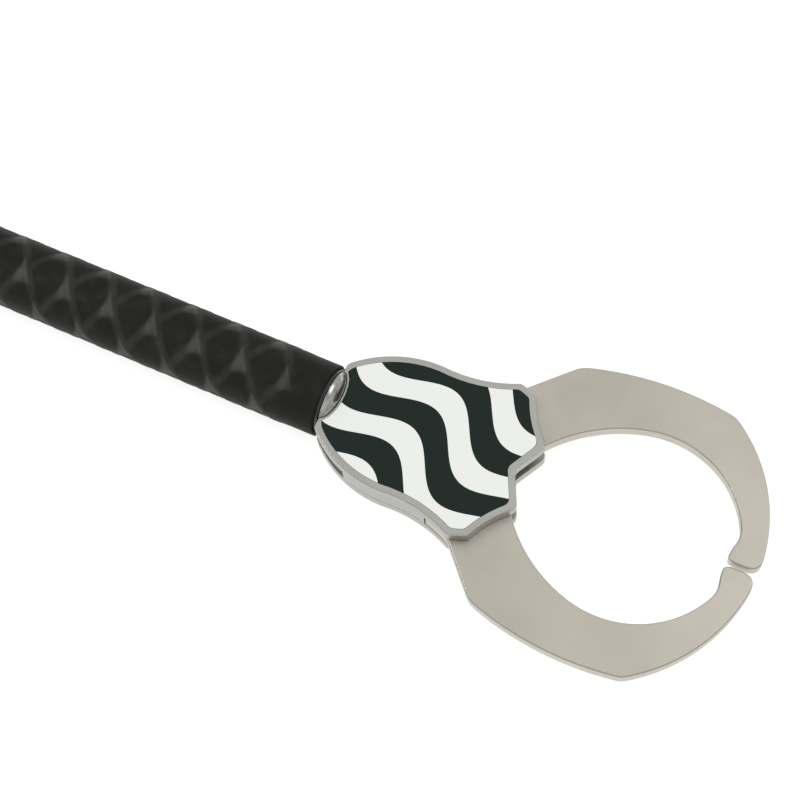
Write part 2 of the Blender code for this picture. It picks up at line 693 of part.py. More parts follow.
def make_plug(parent):
    """Turned plug in the tube, with a domed nose and a fork that guides the plunger."""
    insert_r = TUBE_INNER_R - FIT_GAP
    rear = TUBE_END_X - PLUG_INSERT
    insert = [(rear, insert_r - PLUG_CHAMFER), (rear + PLUG_CHAMFER, insert_r), (REAR_X, insert_r)]
    plug = piece("fork_plug", turned(insert + dome_profile(), "X"), ALUMINIUM, parent)
    half_height = HALF_GAP - FIT_GAP
    prong_inner = RACK_ROOT_Y + FIT_GAP
    rod_way = ROD_R + FIT_GAP
    slot_rear = REAR_X + DOME_LENGTH + FORK_SOLID_LENGTH
    fork = [
        (FORK_FRONT_X, prong_inner),
        rounded((FORK_FRONT_X, FORK_HALF_WIDTH), FORK_ROUND),
        (REAR_X + OVERRUN, FORK_HALF_WIDTH),
    ]
    slot = [(slot_rear, rod_way), (FORK_STOP_X, rod_way), (FORK_STOP_X, prong_inner)]
    outline = soften(fork + flipped(fork))
    outline += [(x, -y) for x, y in reversed(slot)] + slot
    join(plug, "fork_prongs", prism(outline, -half_height, half_height))
    bore = turned([(rear - OVERRUN, rod_way), (slot_rear + OVERRUN, rod_way)], "X", sides=SMALL_SIDES)
    cut(plug, "rod_bore", bore)
    screw_hole = [(-HEAD_TOP, SCREW_R + FIT_GAP), (HEAD_TOP, SCREW_R + FIT_GAP)]
    screw_holes = bmesh.new()
    for name, (x, y) in screw_places().items():
        if name.startswith("fork"):
            turned(screw_hole, at=(x, y, 0), sides=SMALL_SIDES, bm=screw_holes)
    cut(plug, "fork_screw_holes", screw_holes)
    pin_inner_y = TUBE_OUTER_R - PLUG_PIN_LENGTH - FIT_GAP
    pin_holes = bmesh.new()
    for sign in (-1, 1):
        reach = [(sign * pin_inner_y, PLUG_PIN_R + FIT_GAP), (sign * TUBE_OUTER_R, PLUG_PIN_R + FIT_GAP)]
        turned(reach, "Y", (TUBE_END_X - PLUG_PIN_BACK, 0, 0), SMALL_SIDES, bm=pin_holes)
    cut(plug, "plug_pin_holes", pin_holes)


def make_plug_pins(parent):
    """Pins through the tube's wall into the plug, hidden by the grip sleeve."""
    for side, sign in (("left", 1), ("right", -1)):
        ends = (TUBE_OUTER_R - PLUG_PIN_LENGTH, TUBE_OUTER_R - FIT_GAP)
        profile = [(sign * y, PLUG_PIN_R) for y in ends]
        pin = turned(profile, "Y", (TUBE_END_X - PLUG_PIN_BACK, 0, 0), SMALL_SIDES)
        piece(f"{side}_plug_pin", pin, DARK_STEEL, parent)


# Jaws


def sector_teeth():
    """Involute teeth round the left pivot, in order of rising angle."""
    base_r = SECTOR_PITCH_R * math.cos(PRESSURE_ANGLE)
    root_r = SECTOR_PITCH_R - DEDENDUM
    tip_r = SECTOR_PITCH_R + MODULE
    half_at_pitch = (math.pi * MODULE / 2 - TOOTH_BACKLASH) / (2 * SECTOR_PITCH_R)
    involute = math.tan(PRESSURE_ANGLE) - PRESSURE_ANGLE
    flank = []
    for radius in (root_r, base_r, SECTOR_PITCH_R, (SECTOR_PITCH_R + tip_r) / 2, tip_r):
        pressure = math.acos(min(1.0, base_r / radius))
        half = half_at_pitch + involute - (math.tan(pressure) - pressure)
        flank.append((radius, math.degrees(half)))
    pitch_deg = 360 / FULL_TEETH
    points = [polar(PIVOT, root_r, -90 + (SECTOR_TEETH[0] - 0.5) * pitch_deg)]
    for k in SECTOR_TEETH:
        middle = -90 + k * pitch_deg
        points += [polar(PIVOT, radius, middle - half) for radius, half in flank]
        points += [polar(PIVOT, radius, middle + half) for radius, half in reversed(flank)]
        points.append(polar(PIVOT, root_r, middle + pitch_deg / 2))
    return points


def jaw_edge():
    """Left jaw's edge from its root round the throat and the tip to its neck, flush with the plates."""
    rear_centre = (
        THROAT_CENTRE[0] - (THROAT_REAR_R - THROAT_R) * math.cos(math.radians(THROAT_BLEND_DEG)),
        THROAT_CENTRE[1] - (THROAT_REAR_R - THROAT_R) * math.sin(math.radians(THROAT_BLEND_DEG)),
    )
    root_deg = 180 - math.degrees(math.asin((ROOT_Y - rear_centre[1]) / THROAT_REAR_R))
    nub_deg = math.degrees(math.asin((NUB_START_Y - THROAT_CENTRE[1]) / THROAT_R))
    tip = (TIP_X, TIP_HALF_GAP)
    edge = arc(rear_centre, THROAT_REAR_R, root_deg, THROAT_BLEND_DEG)[:-1]
    edge += arc(THROAT_CENTRE, THROAT_R, THROAT_BLEND_DEG, nub_deg)[:-1]
    edge += [rounded(polar(THROAT_CENTRE, THROAT_R, nub_deg), NUB_START_ROUND)]
    edge += [rounded(NUB_CREST, NUB_CREST_ROUND), rounded((NUB_END_X, TIP_HALF_GAP), NUB_END_ROUND)]
    edge += [rounded(tip, TIP_ROUND)] + bowed(tip, SHOULDER, FRONT_RISE)[1:]
    edge += [rounded(SHOULDER, SHOULDER_ROUND)] + bowed(SHOULDER, HEEL, BACK_RISE)[1:]
    neck_end_x = polar(PIVOT, HUB_R, meets_side(HUB_R, NECK_STEP))[0]
    edge += [rounded(HEEL, HEEL_ROUND)] + side_points(NECK_CORNER[0], neck_end_x, NECK_STEP)[:-1]
    return soften(edge)


def jaw_root():
    """Left jaw's hub and toothed sector between the plates, from its neck back to its root."""
    end_deg = 270 + (SECTOR_TEETH[0] - 0.5) * 360 / FULL_TEETH
    hub = arc(PIVOT, HUB_R, meets_side(HUB_R, NECK_STEP), end_deg)
    return hub + sector_teeth() + [(PIVOT_X + ROOT_AHEAD, ROOT_Y)]


def make_jaw(side, parent):
    edge, root = jaw_edge(), jaw_root()
    outline = edge + root
    bevels = [0.0] + [JAW_CHAMFER] * (len(edge) - 1) + [0.0] * len(root)
    half = JAW_THICKNESS / 2
    narrow = inset(outline, bevels)
    levels = [(narrow, -half), (outline, JAW_CHAMFER - half), (outline, half - JAW_CHAMFER), (narrow, half)]
    sign = 1
    if side == "right":
        sign = -1
        levels = [(flipped(points), z) for points, z in levels]
    pivot = (PIVOT_X, sign * PIVOT_Y, 0)
    empty = bpy.data.objects.new(f"{side}_pivot", None)
    empty.location = pivot
    empty.parent = parent
    bpy.context.collection.objects.link(empty)
    jaw = piece(f"{side}_jaw", stack(levels), STEEL, parent, pivot)
    bore = [(-half - OVERRUN, JAW_BORE_R), (half + OVERRUN, JAW_BORE_R)]
    cut(jaw, f"{side}_jaw_bore", turned(bore, at=pivot))
    end = HALF_GAP - FIT_GAP
    bush = [(-end, BUSH_OUTER_R), (end, BUSH_OUTER_R), (end, BUSH_INNER_R), (-end, BUSH_INNER_R)]
    piece(f"{side}_pivot_bush", turned(bush, at=pivot, closed=True), BRONZE, parent, pivot)


# Plunger, rod and spring


def rack_side():
    """Left edge of the rack, from its front end to its rear end."""
    half = (RACK_PITCH / 2 - TOOTH_BACKLASH) / 2
    slope = math.tan(PRESSURE_ANGLE)
    at_root = half + (RACK_PITCH_Y - RACK_ROOT_Y) * slope
    at_tip = half - MODULE * slope
    points = []
    for k in reversed(RACK_TEETH):
        middle = PIVOT_X + (k + 0.5) * RACK_PITCH
        points += [(middle + at_root, RACK_ROOT_Y), (middle + at_tip, RACK_TIP_Y)]
        points += [(middle - at_tip, RACK_TIP_Y), (middle - at_root, RACK_ROOT_Y)]
    return points + [(RACK_REAR_X, RACK_ROOT_Y)]


def nose_end():
    return PIVOT_X + (RACK_TEETH[-1] + 1) * RACK_PITCH + NOSE_LENGTH


def make_plunger(parent):
    half = JAW_THICKNESS / 2
    front = nose_end()
    tenon = front + TENON_LENGTH
    nose = [(tenon, TENON_HALF_WIDTH), (front, TENON_HALF_WIDTH)]
    nose += [rounded((front, NOSE_HALF_WIDTH), NOSE_ROUND)]
    upper = nose + rack_side()
    outline = soften(upper + flipped(upper))
    plunger = piece("rack_plunger", prism(outline, -half, half), STEEL, parent)
    slot_half = ROD_TONGUE_THICKNESS / 2 + FIT_GAP
    slot_width = ROD_TONGUE_WIDTH / 2 + FIT_GAP
    slot_front = RACK_REAR_X + ROD_TONGUE_LENGTH + FIT_GAP
    slot = block((RACK_REAR_X - OVERRUN, -slot_width, -slot_half), (slot_front, slot_width, slot_half))
    cut(plunger, "tongue_slot", slot)
    pin_at = (RACK_REAR_X + ROD_TONGUE_LENGTH / 2, 0, 0)
    hole = [(-half - OVERRUN, ROD_PIN_R + FIT_GAP), (half + OVERRUN, ROD_PIN_R + FIT_GAP)]
    cut(plunger, "plunger_pin_hole", turned(hole, at=pin_at, sides=SMALL_SIDES))
    pin = [(-ROD_PIN_LENGTH / 2, ROD_PIN_R), (ROD_PIN_LENGTH / 2, ROD_PIN_R)]
    piece("rod_pin", turned(pin, at=pin_at, sides=SMALL_SIDES), DARK_STEEL, parent)
    pad_front = front + FIT_GAP + PAD_LENGTH
    mouth = [(front + FIT_GAP, TENON_HALF_WIDTH + FIT_GAP), (tenon + FIT_GAP, TENON_HALF_WIDTH + FIT_GAP)]
    outer = [rounded((pad_front, NOSE_HALF_WIDTH), PAD_ROUND), (front + FIT_GAP, NOSE_HALF_WIDTH)]
    pad = soften(outer + mouth + flipped(outer + mouth))
    piece("nose_pad", prism(pad, -half, half), RUBBER, parent)


def make_rod(parent):
    """Rod from the plunger back through the plug, flattened into a tongue at its front end."""
    shoulder = RACK_REAR_X - FIT_GAP
    end = WASHER_FRONT_X - WASHER_THICKNESS - 2 * (NUT_THICKNESS + FIT_GAP) - ROD_END_SHOW
    profile = [(end, ROD_R - ROD_CHAMFER), (end + ROD_CHAMFER, ROD_R), (shoulder, ROD_R)]
    rod = piece("pull_rod", turned(profile, "X", sides=SMALL_SIDES), STEEL, parent)
    low = (shoulder - OVERRUN, -ROD_TONGUE_WIDTH / 2, -ROD_TONGUE_THICKNESS / 2)
    high = (RACK_REAR_X + ROD_TONGUE_LENGTH, ROD_TONGUE_WIDTH / 2, ROD_TONGUE_THICKNESS / 2)
    join(rod, "rod_tongue", block(low, high))
    pin_at = (RACK_REAR_X + ROD_TONGUE_LENGTH / 2, 0, 0)
    hole = [(-ROD_R, ROD_PIN_R + FIT_GAP), (ROD_R, ROD_PIN_R + FIT_GAP)]
    cut(rod, "rod_pin_hole", turned(hole, at=pin_at, sides=SMALL_SIDES))


def make_rod_fasteners(parent):
    """Washer that the spring pushes on, a nut and a lock nut."""
    bore_r = ROD_R + FIT_GAP
    front, rear = WASHER_FRONT_X, WASHER_FRONT_X - WASHER_THICKNESS
    ring = [(rear, WASHER_R), (front, WASHER_R), (front, bore_r), (rear, bore_r)]
    piece("spring_washer", turned(ring, "X", closed=True), STEEL, parent)
    for name, place in (("rod_nut", 0), ("lock_nut", 1)):
        front = rear - FIT_GAP - place * (NUT_THICKNESS + FIT_GAP)
        nut = bmesh.new()
        loops = [[(x, y, z) for y, z in hexagon(NUT_FLATS)] for x in (front - NUT_THICKNESS, front)]
        skin(nut, loops)
        obj = piece(name, nut, DARK_STEEL, parent)
        bore = [(front - NUT_THICKNESS - OVERRUN, bore_r), (front + OVERRUN, bore_r)]
        cut(obj, name + "_bore", turned(bore, "X", sides=SMALL_SIDES))


def spring_points():
    """Centre line of the closing spring: close turns at its ends, open turns between."""
    length = SPRING_LENGTH - 2 * SPRING_WIRE_R
    open_pitch = (length - 2 * SPRING_END_TURN_PITCH) / (SPRING_TURNS - 2)
    x = SPRING_FRONT_X - SPRING_WIRE_R
    points = []
    for i in range(SPRING_TURNS * SPRING_POINTS_PER_TURN + 1):
        points.append(Vector((x, *polar((0, 0), SPRING_MEAN_R, 360 * i / SPRING_POINTS_PER_TURN))))
        turn = i // SPRING_POINTS_PER_TURN
        pitch = open_pitch if 1 <= turn < SPRING_TURNS - 1 else SPRING_END_TURN_PITCH
        x -= pitch / SPRING_POINTS_PER_TURN
    return points


def make_spring(parent):
    points = spring_points()
    past_half_turn = SPRING_POINTS_PER_TURN // 2 + 1
    least = min((p - q).length for i, p in enumerate(points) for q in points[i + past_half_turn :])
    print(f"closing_spring: least gap between turns {1000 * (least - 2 * SPRING_WIRE_R):.2f} mm")
    curve = bpy.data.curves.new("closing_spring", "CURVE")
    curve.dimensions = "3D"
    curve.bevel_depth = SPRING_WIRE_R
    curve.bevel_resolution = 1
    curve.use_fill_caps = True
    spline = curve.splines.new("POLY")
    spline.points.add(len(points) - 1)
    for knot, p in zip(spline.points, points):
        knot.co = (*p, 1.0)
    obj = bpy.data.objects.new("closing_spring", curve)
    obj.parent = parent
    bpy.context.collection.objects.link(obj)
    dress(obj, DARK_STEEL)


def main():
    for obj in list(bpy.data.objects):
        bpy.data.objects.remove(obj)
    ring_centre = bpy.data.objects.new("ring_centre", None)
    ring_centre.location = (RING_X, 0, 0)
    bpy.context.collection.objects.link(ring_centre)
    make_tube()
    make_butt_cap()
    make_sleeve()
    make_plug(ring_centre)
    make_plug_pins(ring_centre)
    make_housing(ring_centre)
    make_cover(ring_centre)
    make_screws(ring_centre)
    make_jaw("left", ring_centre)
    make_jaw("right", ring_centre)
    make_plunger(ring_centre)
    make_rod(ring_centre)
    make_rod_fasteners(ring_centre)
    make_spring(ring_centre)


main()
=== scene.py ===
# %% [markdown]
# # A landing clamp for tuna
# Two steel jaws close round the narrow part of a tuna's body, just ahead of its tail, and a long handle
# lifts the fish over the rail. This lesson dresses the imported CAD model: every piece gets its finish, and
# the pieces that show get finer forms. All lengths are metres, and X runs from the butt to the jaws.

# %% Load the frame
import json
import math

import bmesh
import bpy
from mathutils import Matrix, Vector


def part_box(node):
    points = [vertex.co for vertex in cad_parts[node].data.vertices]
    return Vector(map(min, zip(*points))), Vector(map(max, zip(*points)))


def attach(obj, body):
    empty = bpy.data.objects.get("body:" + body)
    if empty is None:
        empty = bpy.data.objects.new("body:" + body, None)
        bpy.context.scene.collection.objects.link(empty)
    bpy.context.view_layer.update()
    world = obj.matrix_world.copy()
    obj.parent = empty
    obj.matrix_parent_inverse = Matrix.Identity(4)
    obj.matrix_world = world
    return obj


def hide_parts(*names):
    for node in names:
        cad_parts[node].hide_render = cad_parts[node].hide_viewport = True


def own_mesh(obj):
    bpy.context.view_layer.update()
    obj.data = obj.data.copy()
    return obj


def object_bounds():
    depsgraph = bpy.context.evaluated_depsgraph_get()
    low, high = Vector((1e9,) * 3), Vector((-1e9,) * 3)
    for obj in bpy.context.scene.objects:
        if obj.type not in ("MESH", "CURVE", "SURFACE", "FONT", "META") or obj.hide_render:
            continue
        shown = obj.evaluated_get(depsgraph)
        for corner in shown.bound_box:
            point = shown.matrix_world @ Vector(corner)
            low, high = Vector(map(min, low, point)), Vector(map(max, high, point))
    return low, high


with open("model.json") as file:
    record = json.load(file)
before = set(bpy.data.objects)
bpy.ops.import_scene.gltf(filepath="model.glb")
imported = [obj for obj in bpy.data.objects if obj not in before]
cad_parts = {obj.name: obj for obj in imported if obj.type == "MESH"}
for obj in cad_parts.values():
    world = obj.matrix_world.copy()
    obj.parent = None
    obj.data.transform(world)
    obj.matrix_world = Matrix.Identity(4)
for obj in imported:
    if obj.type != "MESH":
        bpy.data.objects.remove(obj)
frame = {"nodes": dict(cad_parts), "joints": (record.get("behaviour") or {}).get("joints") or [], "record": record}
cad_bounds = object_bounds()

MM = 0.001
nodes = frame["nodes"]
print("CAD nodes:", len(nodes))

# %% [markdown]
# ## Where things are
# The clamp was drawn round the centre of its closed ring, so this is the point that the camera needs. It
# lies half way between the pivots of the jaws and a fixed distance ahead of them. The places could be typed
# in as numbers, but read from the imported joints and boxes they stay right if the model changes.

# %% Landmarks
joints = {joint["name"]: joint for joint in frame["joints"]}
RING_AHEAD_OF_PIVOTS = 74 * MM
ring_centre = Vector((joints["left_jaw_hinge"]["pos_m"][0] + RING_AHEAD_OF_PIVOTS, 0, 0))
tube_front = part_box("handle_tube")[1].x
print("ring centre at x =", round(ring_centre.x, 4), "and tube end at x =", round(tube_front, 4))

# %% [markdown]
# ## Camera
# The clamp is seen from above, from in front and from its right. A camera could be set by eye, but three
# angles and a distance, fitted to the corners of the plates and to the ring, put it where the picture was
# taken. The long lens keeps the ring almost free of perspective.

# %% Camera
VIEW_AZIMUTH = 32.14
VIEW_ELEVATION = 63.62
VIEW_ROLL = -7.19
LENS = 82.0
SENSOR_WIDTH = 36.0
NEAREST_SEEN = 10 * MM
CAMERA_FROM_RING = Vector((74.4, -285.4, 711.1)) * MM

azimuth, elevation, roll = (math.radians(a) for a in (VIEW_AZIMUTH, VIEW_ELEVATION, VIEW_ROLL))
towards_camera = Vector(
    (math.sin(azimuth) * math.cos(elevation), -math.cos(azimuth) * math.cos(elevation), math.sin(elevation))
)
level_right = Vector((math.cos(azimuth), math.sin(azimuth), 0))
level_up = towards_camera.cross(level_right)
right = math.cos(roll) * level_right + math.sin(roll) * level_up
up = math.cos(roll) * level_up - math.sin(roll) * level_right
turn = Matrix((right, up, towards_camera)).transposed().to_4x4()

camera = bpy.data.objects.new("camera", bpy.data.cameras.new("camera"))
camera.data.lens = LENS
camera.data.sensor_width = SENSOR_WIDTH
camera.data.clip_start = NEAREST_SEEN
camera.matrix_world = Matrix.Translation(ring_centre + CAMERA_FROM_RING) @ turn
bpy.context.scene.collection.objects.link(camera)
bpy.context.scene.camera = camera
bpy.context.scene.view_settings.view_transform = "Standard"
print("camera", round(CAMERA_FROM_RING.length / MM), "mm from the ring's centre, with a lens of", LENS, "mm")

# %% [markdown]
# ## Colours and nodes
# Colours are written as the hex values of a screen, and one function turns them to the linear values that
# a shader works in. A second one starts a material from its typical values, and a third adds a node with
# its settings and its links on both sides. Sockets that share a name are reached by number, so in a Mix
# node for colours _0 is the share, _6 and _7 are the two colours, and output 2 is the result. A noise stays
# near 0.5, so a Map Range stretches it: from narrow ends it comes out crisp, and from wider ones soft.

# %% Colour and node helpers
MIX_COLOURS = {"data_type": "RGBA"}
CRISP_CLOUDS = {"From_Min": 0.35, "From_Max": 0.65}
SOFT_CLOUDS = {"From_Min": 0.3, "From_Max": 0.7}


def linear(hex_colour):
    """Linear RGBA from an sRGB hex string."""
    channels = [int(hex_colour[i : i + 2], 16) / 255 for i in (1, 3, 5)]
    return tuple(c / 12.92 if c <= 0.04045 else ((c + 0.055) / 1.055) ** 2.4 for c in channels) + (1.0,)


def new_finish(name, base, **sockets):
    """Material with one Principled shader. Sockets are given by name, with _ for a space."""
    material = bpy.data.materials.new(name)
    material.use_nodes = True
    shader = material.node_tree.nodes["Principled BSDF"]
    shader.inputs["Base Color"].default_value = linear(base)
    for socket, value in sockets.items():
        shader.inputs[socket.replace("_", " ")].default_value = value
    return material, shader


def add_node(material, kind, settings=None, into=None, **inputs):
    """New node. Inputs are values or other nodes' sockets, and into maps its outputs to what they feed."""
    tree = material.node_tree
    node = tree.nodes.new(kind)
    for name, value in (settings or {}).items():
        setattr(node, name, value)
    for name, value in inputs.items():
        socket = node.inputs[int(name[1:]) if name[0] == "_" else name.replace("_", " ")]
        if isinstance(value, bpy.types.NodeSocket):
            tree.links.new(value, socket)
        else:
            socket.default_value = value
    for output, socket in (into or {}).items():
        tree.links.new(node.outputs[output], socket)
    return node


print("middle grey of a screen in linear light:", round(linear("#808080")[0], 3))

# %% [markdown]
# ## Stainless steel, bead blasted
# The jaws and plates are cut from stainless sheet and blasted with glass beads, which leaves a soft grey
# face that shines the same way from every side. Its colour wanders between warm and cool over a few
# centimetres, it is worn smoother where hands and fish rub it, and fine scratches cross it. One roughness
# would give the soft shine, but not the wear, so noises of several sizes steer colour, gloss and relief.
# The real pits are about 0.05 mm wide, too fine to show, and here they are drawn at 0.4 mm.

# %% Blasted stainless steel
PIT = 0.4 * MM
PIT_DEPTH = 0.012 * MM
CLOUD = 32 * MM
RUBBED = 14 * MM
RUBBED_SPREAD = 0.03
SCRATCH_LENGTH = 24 * MM
SCRATCH_WIDTH = 0.35 * MM
SCRATCH_DEPTH = 0.004 * MM
SCRATCH_TURN = 0.5  # radians
SCRATCH_PEAKS = {"From_Min": 0.66, "From_Max": 0.76}


def blasted_steel(name, dark, light, roughness):
    """Satin steel between two tones, rubbed in patches, pitted, and crossed by a few scratches."""
    material, shader = new_finish(name, light, Metallic=1.0, Roughness=roughness)
    place = add_node(material, "ShaderNodeTexCoord").outputs["Object"]

    clouds = add_node(material, "ShaderNodeTexNoise", Vector=place, Scale=1 / CLOUD, Detail=3.0)
    share = add_node(material, "ShaderNodeMapRange", Value=clouds.outputs["Fac"], **CRISP_CLOUDS)
    tones = {"_0": share.outputs["Result"], "_6": linear(dark), "_7": linear(light)}
    add_node(material, "ShaderNodeMix", MIX_COLOURS, {2: shader.inputs["Base Color"]}, **tones)

    rubbed = add_node(material, "ShaderNodeTexNoise", Vector=place, Scale=1 / RUBBED, Detail=4.0)
    ends = {"To_Min": roughness - RUBBED_SPREAD, "To_Max": roughness + RUBBED_SPREAD, **SOFT_CLOUDS}
    gloss = {"Result": shader.inputs["Roughness"]}
    add_node(material, "ShaderNodeMapRange", None, gloss, Value=rubbed.outputs["Fac"], **ends)

    along = (1 / SCRATCH_LENGTH, 1 / SCRATCH_WIDTH, 1 / SCRATCH_LENGTH)
    lines = add_node(material, "ShaderNodeMapping", Vector=place, Rotation=(0, 0, SCRATCH_TURN), Scale=along)
    noise = add_node(material, "ShaderNodeTexNoise", Vector=lines.outputs["Vector"], Scale=1.0, Detail=1.0)
    scratches = add_node(material, "ShaderNodeMapRange", Value=noise.outputs["Fac"], **SCRATCH_PEAKS)
    pits = add_node(material, "ShaderNodeTexNoise", Vector=place, Scale=1 / PIT, Detail=2.0)
    pitted = add_node(material, "ShaderNodeBump", Height=pits.outputs["Fac"], Distance=PIT_DEPTH)
    groove = {"Height": scratches.outputs["Result"], "Distance": -SCRATCH_DEPTH}
    groove["Normal"] = pitted.outputs["Normal"]
    add_node(material, "ShaderNodeBump", None, {"Normal": shader.inputs["Normal"]}, **groove)
    return material


jaw_steel = blasted_steel("stainless_steel_bead_blasted", "#beb8ad", "#c5beb3", 0.42)
plate_steel = blasted_steel("stainless_plate_bead_blasted", "#b3b3ae", "#b9b9b4", 0.40)
print("blasted steels:", jaw_steel.name, plate_steel.name)

# %% [markdown]
# ## Filed edges
# After blasting, the edges that hands meet are broken with a file and a polishing wheel, so they are
# smoother than the faces. A near edge mirrors the lit floor as a thin line of light, and a far edge the
# dimmer foot of the studio. The finish could be blended in by a mask of the edges, but a material of its
# own on the bevel's faces ends just where the file did. The wheel's lines are about 0.1 mm apart, drawn
# here at 0.3 mm.

# %% Filed edges
WHEEL_LINE = 0.3 * MM
FILED_SMOOTHEST = 0.20
FILED_ROUGHEST = 0.34
filed_edge, filed_shader = new_finish("stainless_edge_polished", "#b4b0a6", Metallic=1.0, Roughness=0.26)
filed_place = add_node(filed_edge, "ShaderNodeTexCoord").outputs["Object"]
wheel_lines = add_node(filed_edge, "ShaderNodeTexNoise", Vector=filed_place, Scale=1 / WHEEL_LINE, Detail=2.0)
filed_ends = {"To_Min": FILED_SMOOTHEST, "To_Max": FILED_ROUGHEST}
filed_gloss = {"Result": filed_shader.inputs["Roughness"]}
add_node(filed_edge, "ShaderNodeMapRange", None, filed_gloss, Value=wheel_lines.outputs["Fac"], **filed_ends)
print("edge finish:", filed_edge.name, "with roughness", FILED_SMOOTHEST, "to", FILED_ROUGHEST)

# %% [markdown]
# ## Belt-ground sides
# The outline of the plates is ground on a belt after cutting, which leaves lines that run round the
# plates, one above the other. They make the sides a little darker than the blasted faces. A noise that is
# squeezed in height and long in every other direction gives such lines on each side alike, whichever way
# the side faces. Real belt lines lie about 0.1 mm apart, and here they are drawn at 0.35 mm.

# %% Ground sides
BELT_LINE = 0.35 * MM
BELT_LINE_LENGTH = 30 * MM
BELT_LINE_DEPTH = 0.015 * MM
ground_side, ground_shader = new_finish("stainless_side_ground", "#a9a9a6", Metallic=1.0, Roughness=0.36)
ground_place = add_node(ground_side, "ShaderNodeTexCoord").outputs["Object"]
belt_scale = (1 / BELT_LINE_LENGTH, 1 / BELT_LINE_LENGTH, 1 / BELT_LINE)
belt = add_node(ground_side, "ShaderNodeMapping", Vector=ground_place, Scale=belt_scale).outputs["Vector"]
belt_lines = add_node(ground_side, "ShaderNodeTexNoise", Vector=belt, Scale=1.0, Detail=2.0).outputs["Fac"]
belt_share = add_node(ground_side, "ShaderNodeMapRange", Value=belt_lines, **CRISP_CLOUDS)
belt_tones = {"_0": belt_share.outputs["Result"], "_6": linear("#a1a19e"), "_7": linear("#b2b2ae")}
add_node(ground_side, "ShaderNodeMix", MIX_COLOURS, {2: ground_shader.inputs["Base Color"]}, **belt_tones)
belt_cut = {"Height": belt_lines, "Distance": BELT_LINE_DEPTH}
add_node(ground_side, "ShaderNodeBump", None, {"Normal": ground_shader.inputs["Normal"]}, **belt_cut)
print("side finish:", ground_side.name, "with lines every", BELT_LINE / MM, "mm")

# %% [markdown]
# ## Printed acrylic panel
# The panel in the head is a thin plate of acrylic with a satin face over a two-colour print. The print
# here is a set of bold waves. It could be an image, but nodes stay crisp from any distance: a sine wave
# added to the place across the panel bends straight bands into waves, and a comparison cuts their edges.
# The ink lies under the face, so there is no relief but the faint swell of the moulded sheet.

# %% Printed panel
PRINT_BLACK = "#13201c"
PRINT_WHITE = "#eff1ec"
WAVE_LENGTH = 62 * MM
WAVE_HEIGHT = 7.5 * MM
WAVE_PITCH = 25 * MM
WAVE_WHITE = 12 * MM
WAVE_START = 6 * MM
WAVE_TURN = math.radians(24)
SWELL = 3.0 * MM
SWELL_HEIGHT = 0.01 * MM


def printed_acrylic(name):
    """Satin acrylic over wavy bands of black and white ink."""
    settings = {"Roughness": 0.30, "IOR": 1.49, "Specular_IOR_Level": 0.22}
    material, shader = new_finish(name, PRINT_BLACK, **settings)
    place = add_node(material, "ShaderNodeTexCoord").outputs["Object"]
    lie = {"Location": (0, WAVE_START, 0), "Rotation": (0, 0, WAVE_TURN)}
    turned = add_node(material, "ShaderNodeMapping", Vector=place, **lie)
    axes = add_node(material, "ShaderNodeSeparateXYZ", Vector=turned.outputs["Vector"]).outputs

    math_node = "ShaderNodeMath"
    radians_per_metre = 2 * math.pi / WAVE_LENGTH
    angle = add_node(material, math_node, {"operation": "MULTIPLY"}, _0=axes["X"], _1=radians_per_metre)
    sine = add_node(material, math_node, {"operation": "SINE"}, _0=angle.outputs["Value"])
    bend = {"_0": sine.outputs["Value"], "_1": WAVE_HEIGHT, "_2": axes["Y"]}
    bent = add_node(material, math_node, {"operation": "MULTIPLY_ADD"}, **bend).outputs["Value"]
    across = add_node(material, math_node, {"operation": "FLOORED_MODULO"}, _0=bent, _1=WAVE_PITCH)
    band = {"_0": across.outputs["Value"], "_1": WAVE_WHITE}
    white = add_node(material, math_node, {"operation": "LESS_THAN"}, **band)
    inks = {"_0": white.outputs["Value"], "_6": linear(PRINT_BLACK), "_7": linear(PRINT_WHITE)}
    add_node(material, "ShaderNodeMix", MIX_COLOURS, {2: shader.inputs["Base Color"]}, **inks)

    swell = add_node(material, "ShaderNodeTexNoise", Vector=place, Scale=1 / SWELL, Detail=1.0)
    soft = {"Height": swell.outputs["Fac"], "Distance": SWELL_HEIGHT}
    add_node(material, "ShaderNodeBump", None, {"Normal": shader.inputs["Normal"]}, **soft)
    return material


panel_print = printed_acrylic("acrylic_panel_printed")
print("waves on the panel every", round(WAVE_PITCH / MM), "mm")

# %% [markdown]
# ## Shrink rubber
# The grip is a black sleeve shrunk over crossed cords. Where it is drawn over a cord it is stretched thin,
# which makes rubber a little paler and smoother, and between the cords it stays dark and dull. The paler
# colour also stands in for light: it is partly painted sheen on the cords and painted highlight in the
# webs beside the crossings. Pale lines could be drawn by a pattern of their own, but a number that the
# sleeve carries at each point always lies where its relief does. The skin has a pebble about 0.2 mm wide,
# drawn here at 0.5 mm. The cap is a thicker moulding of the same kind, without stretch or painted sheen.

# %% Rubbers
PEBBLE = 0.5 * MM
PEBBLE_DEPTH = 0.01 * MM
RUBBER_CLOUD = 7 * MM
CLOUD_SHARE = 0.12


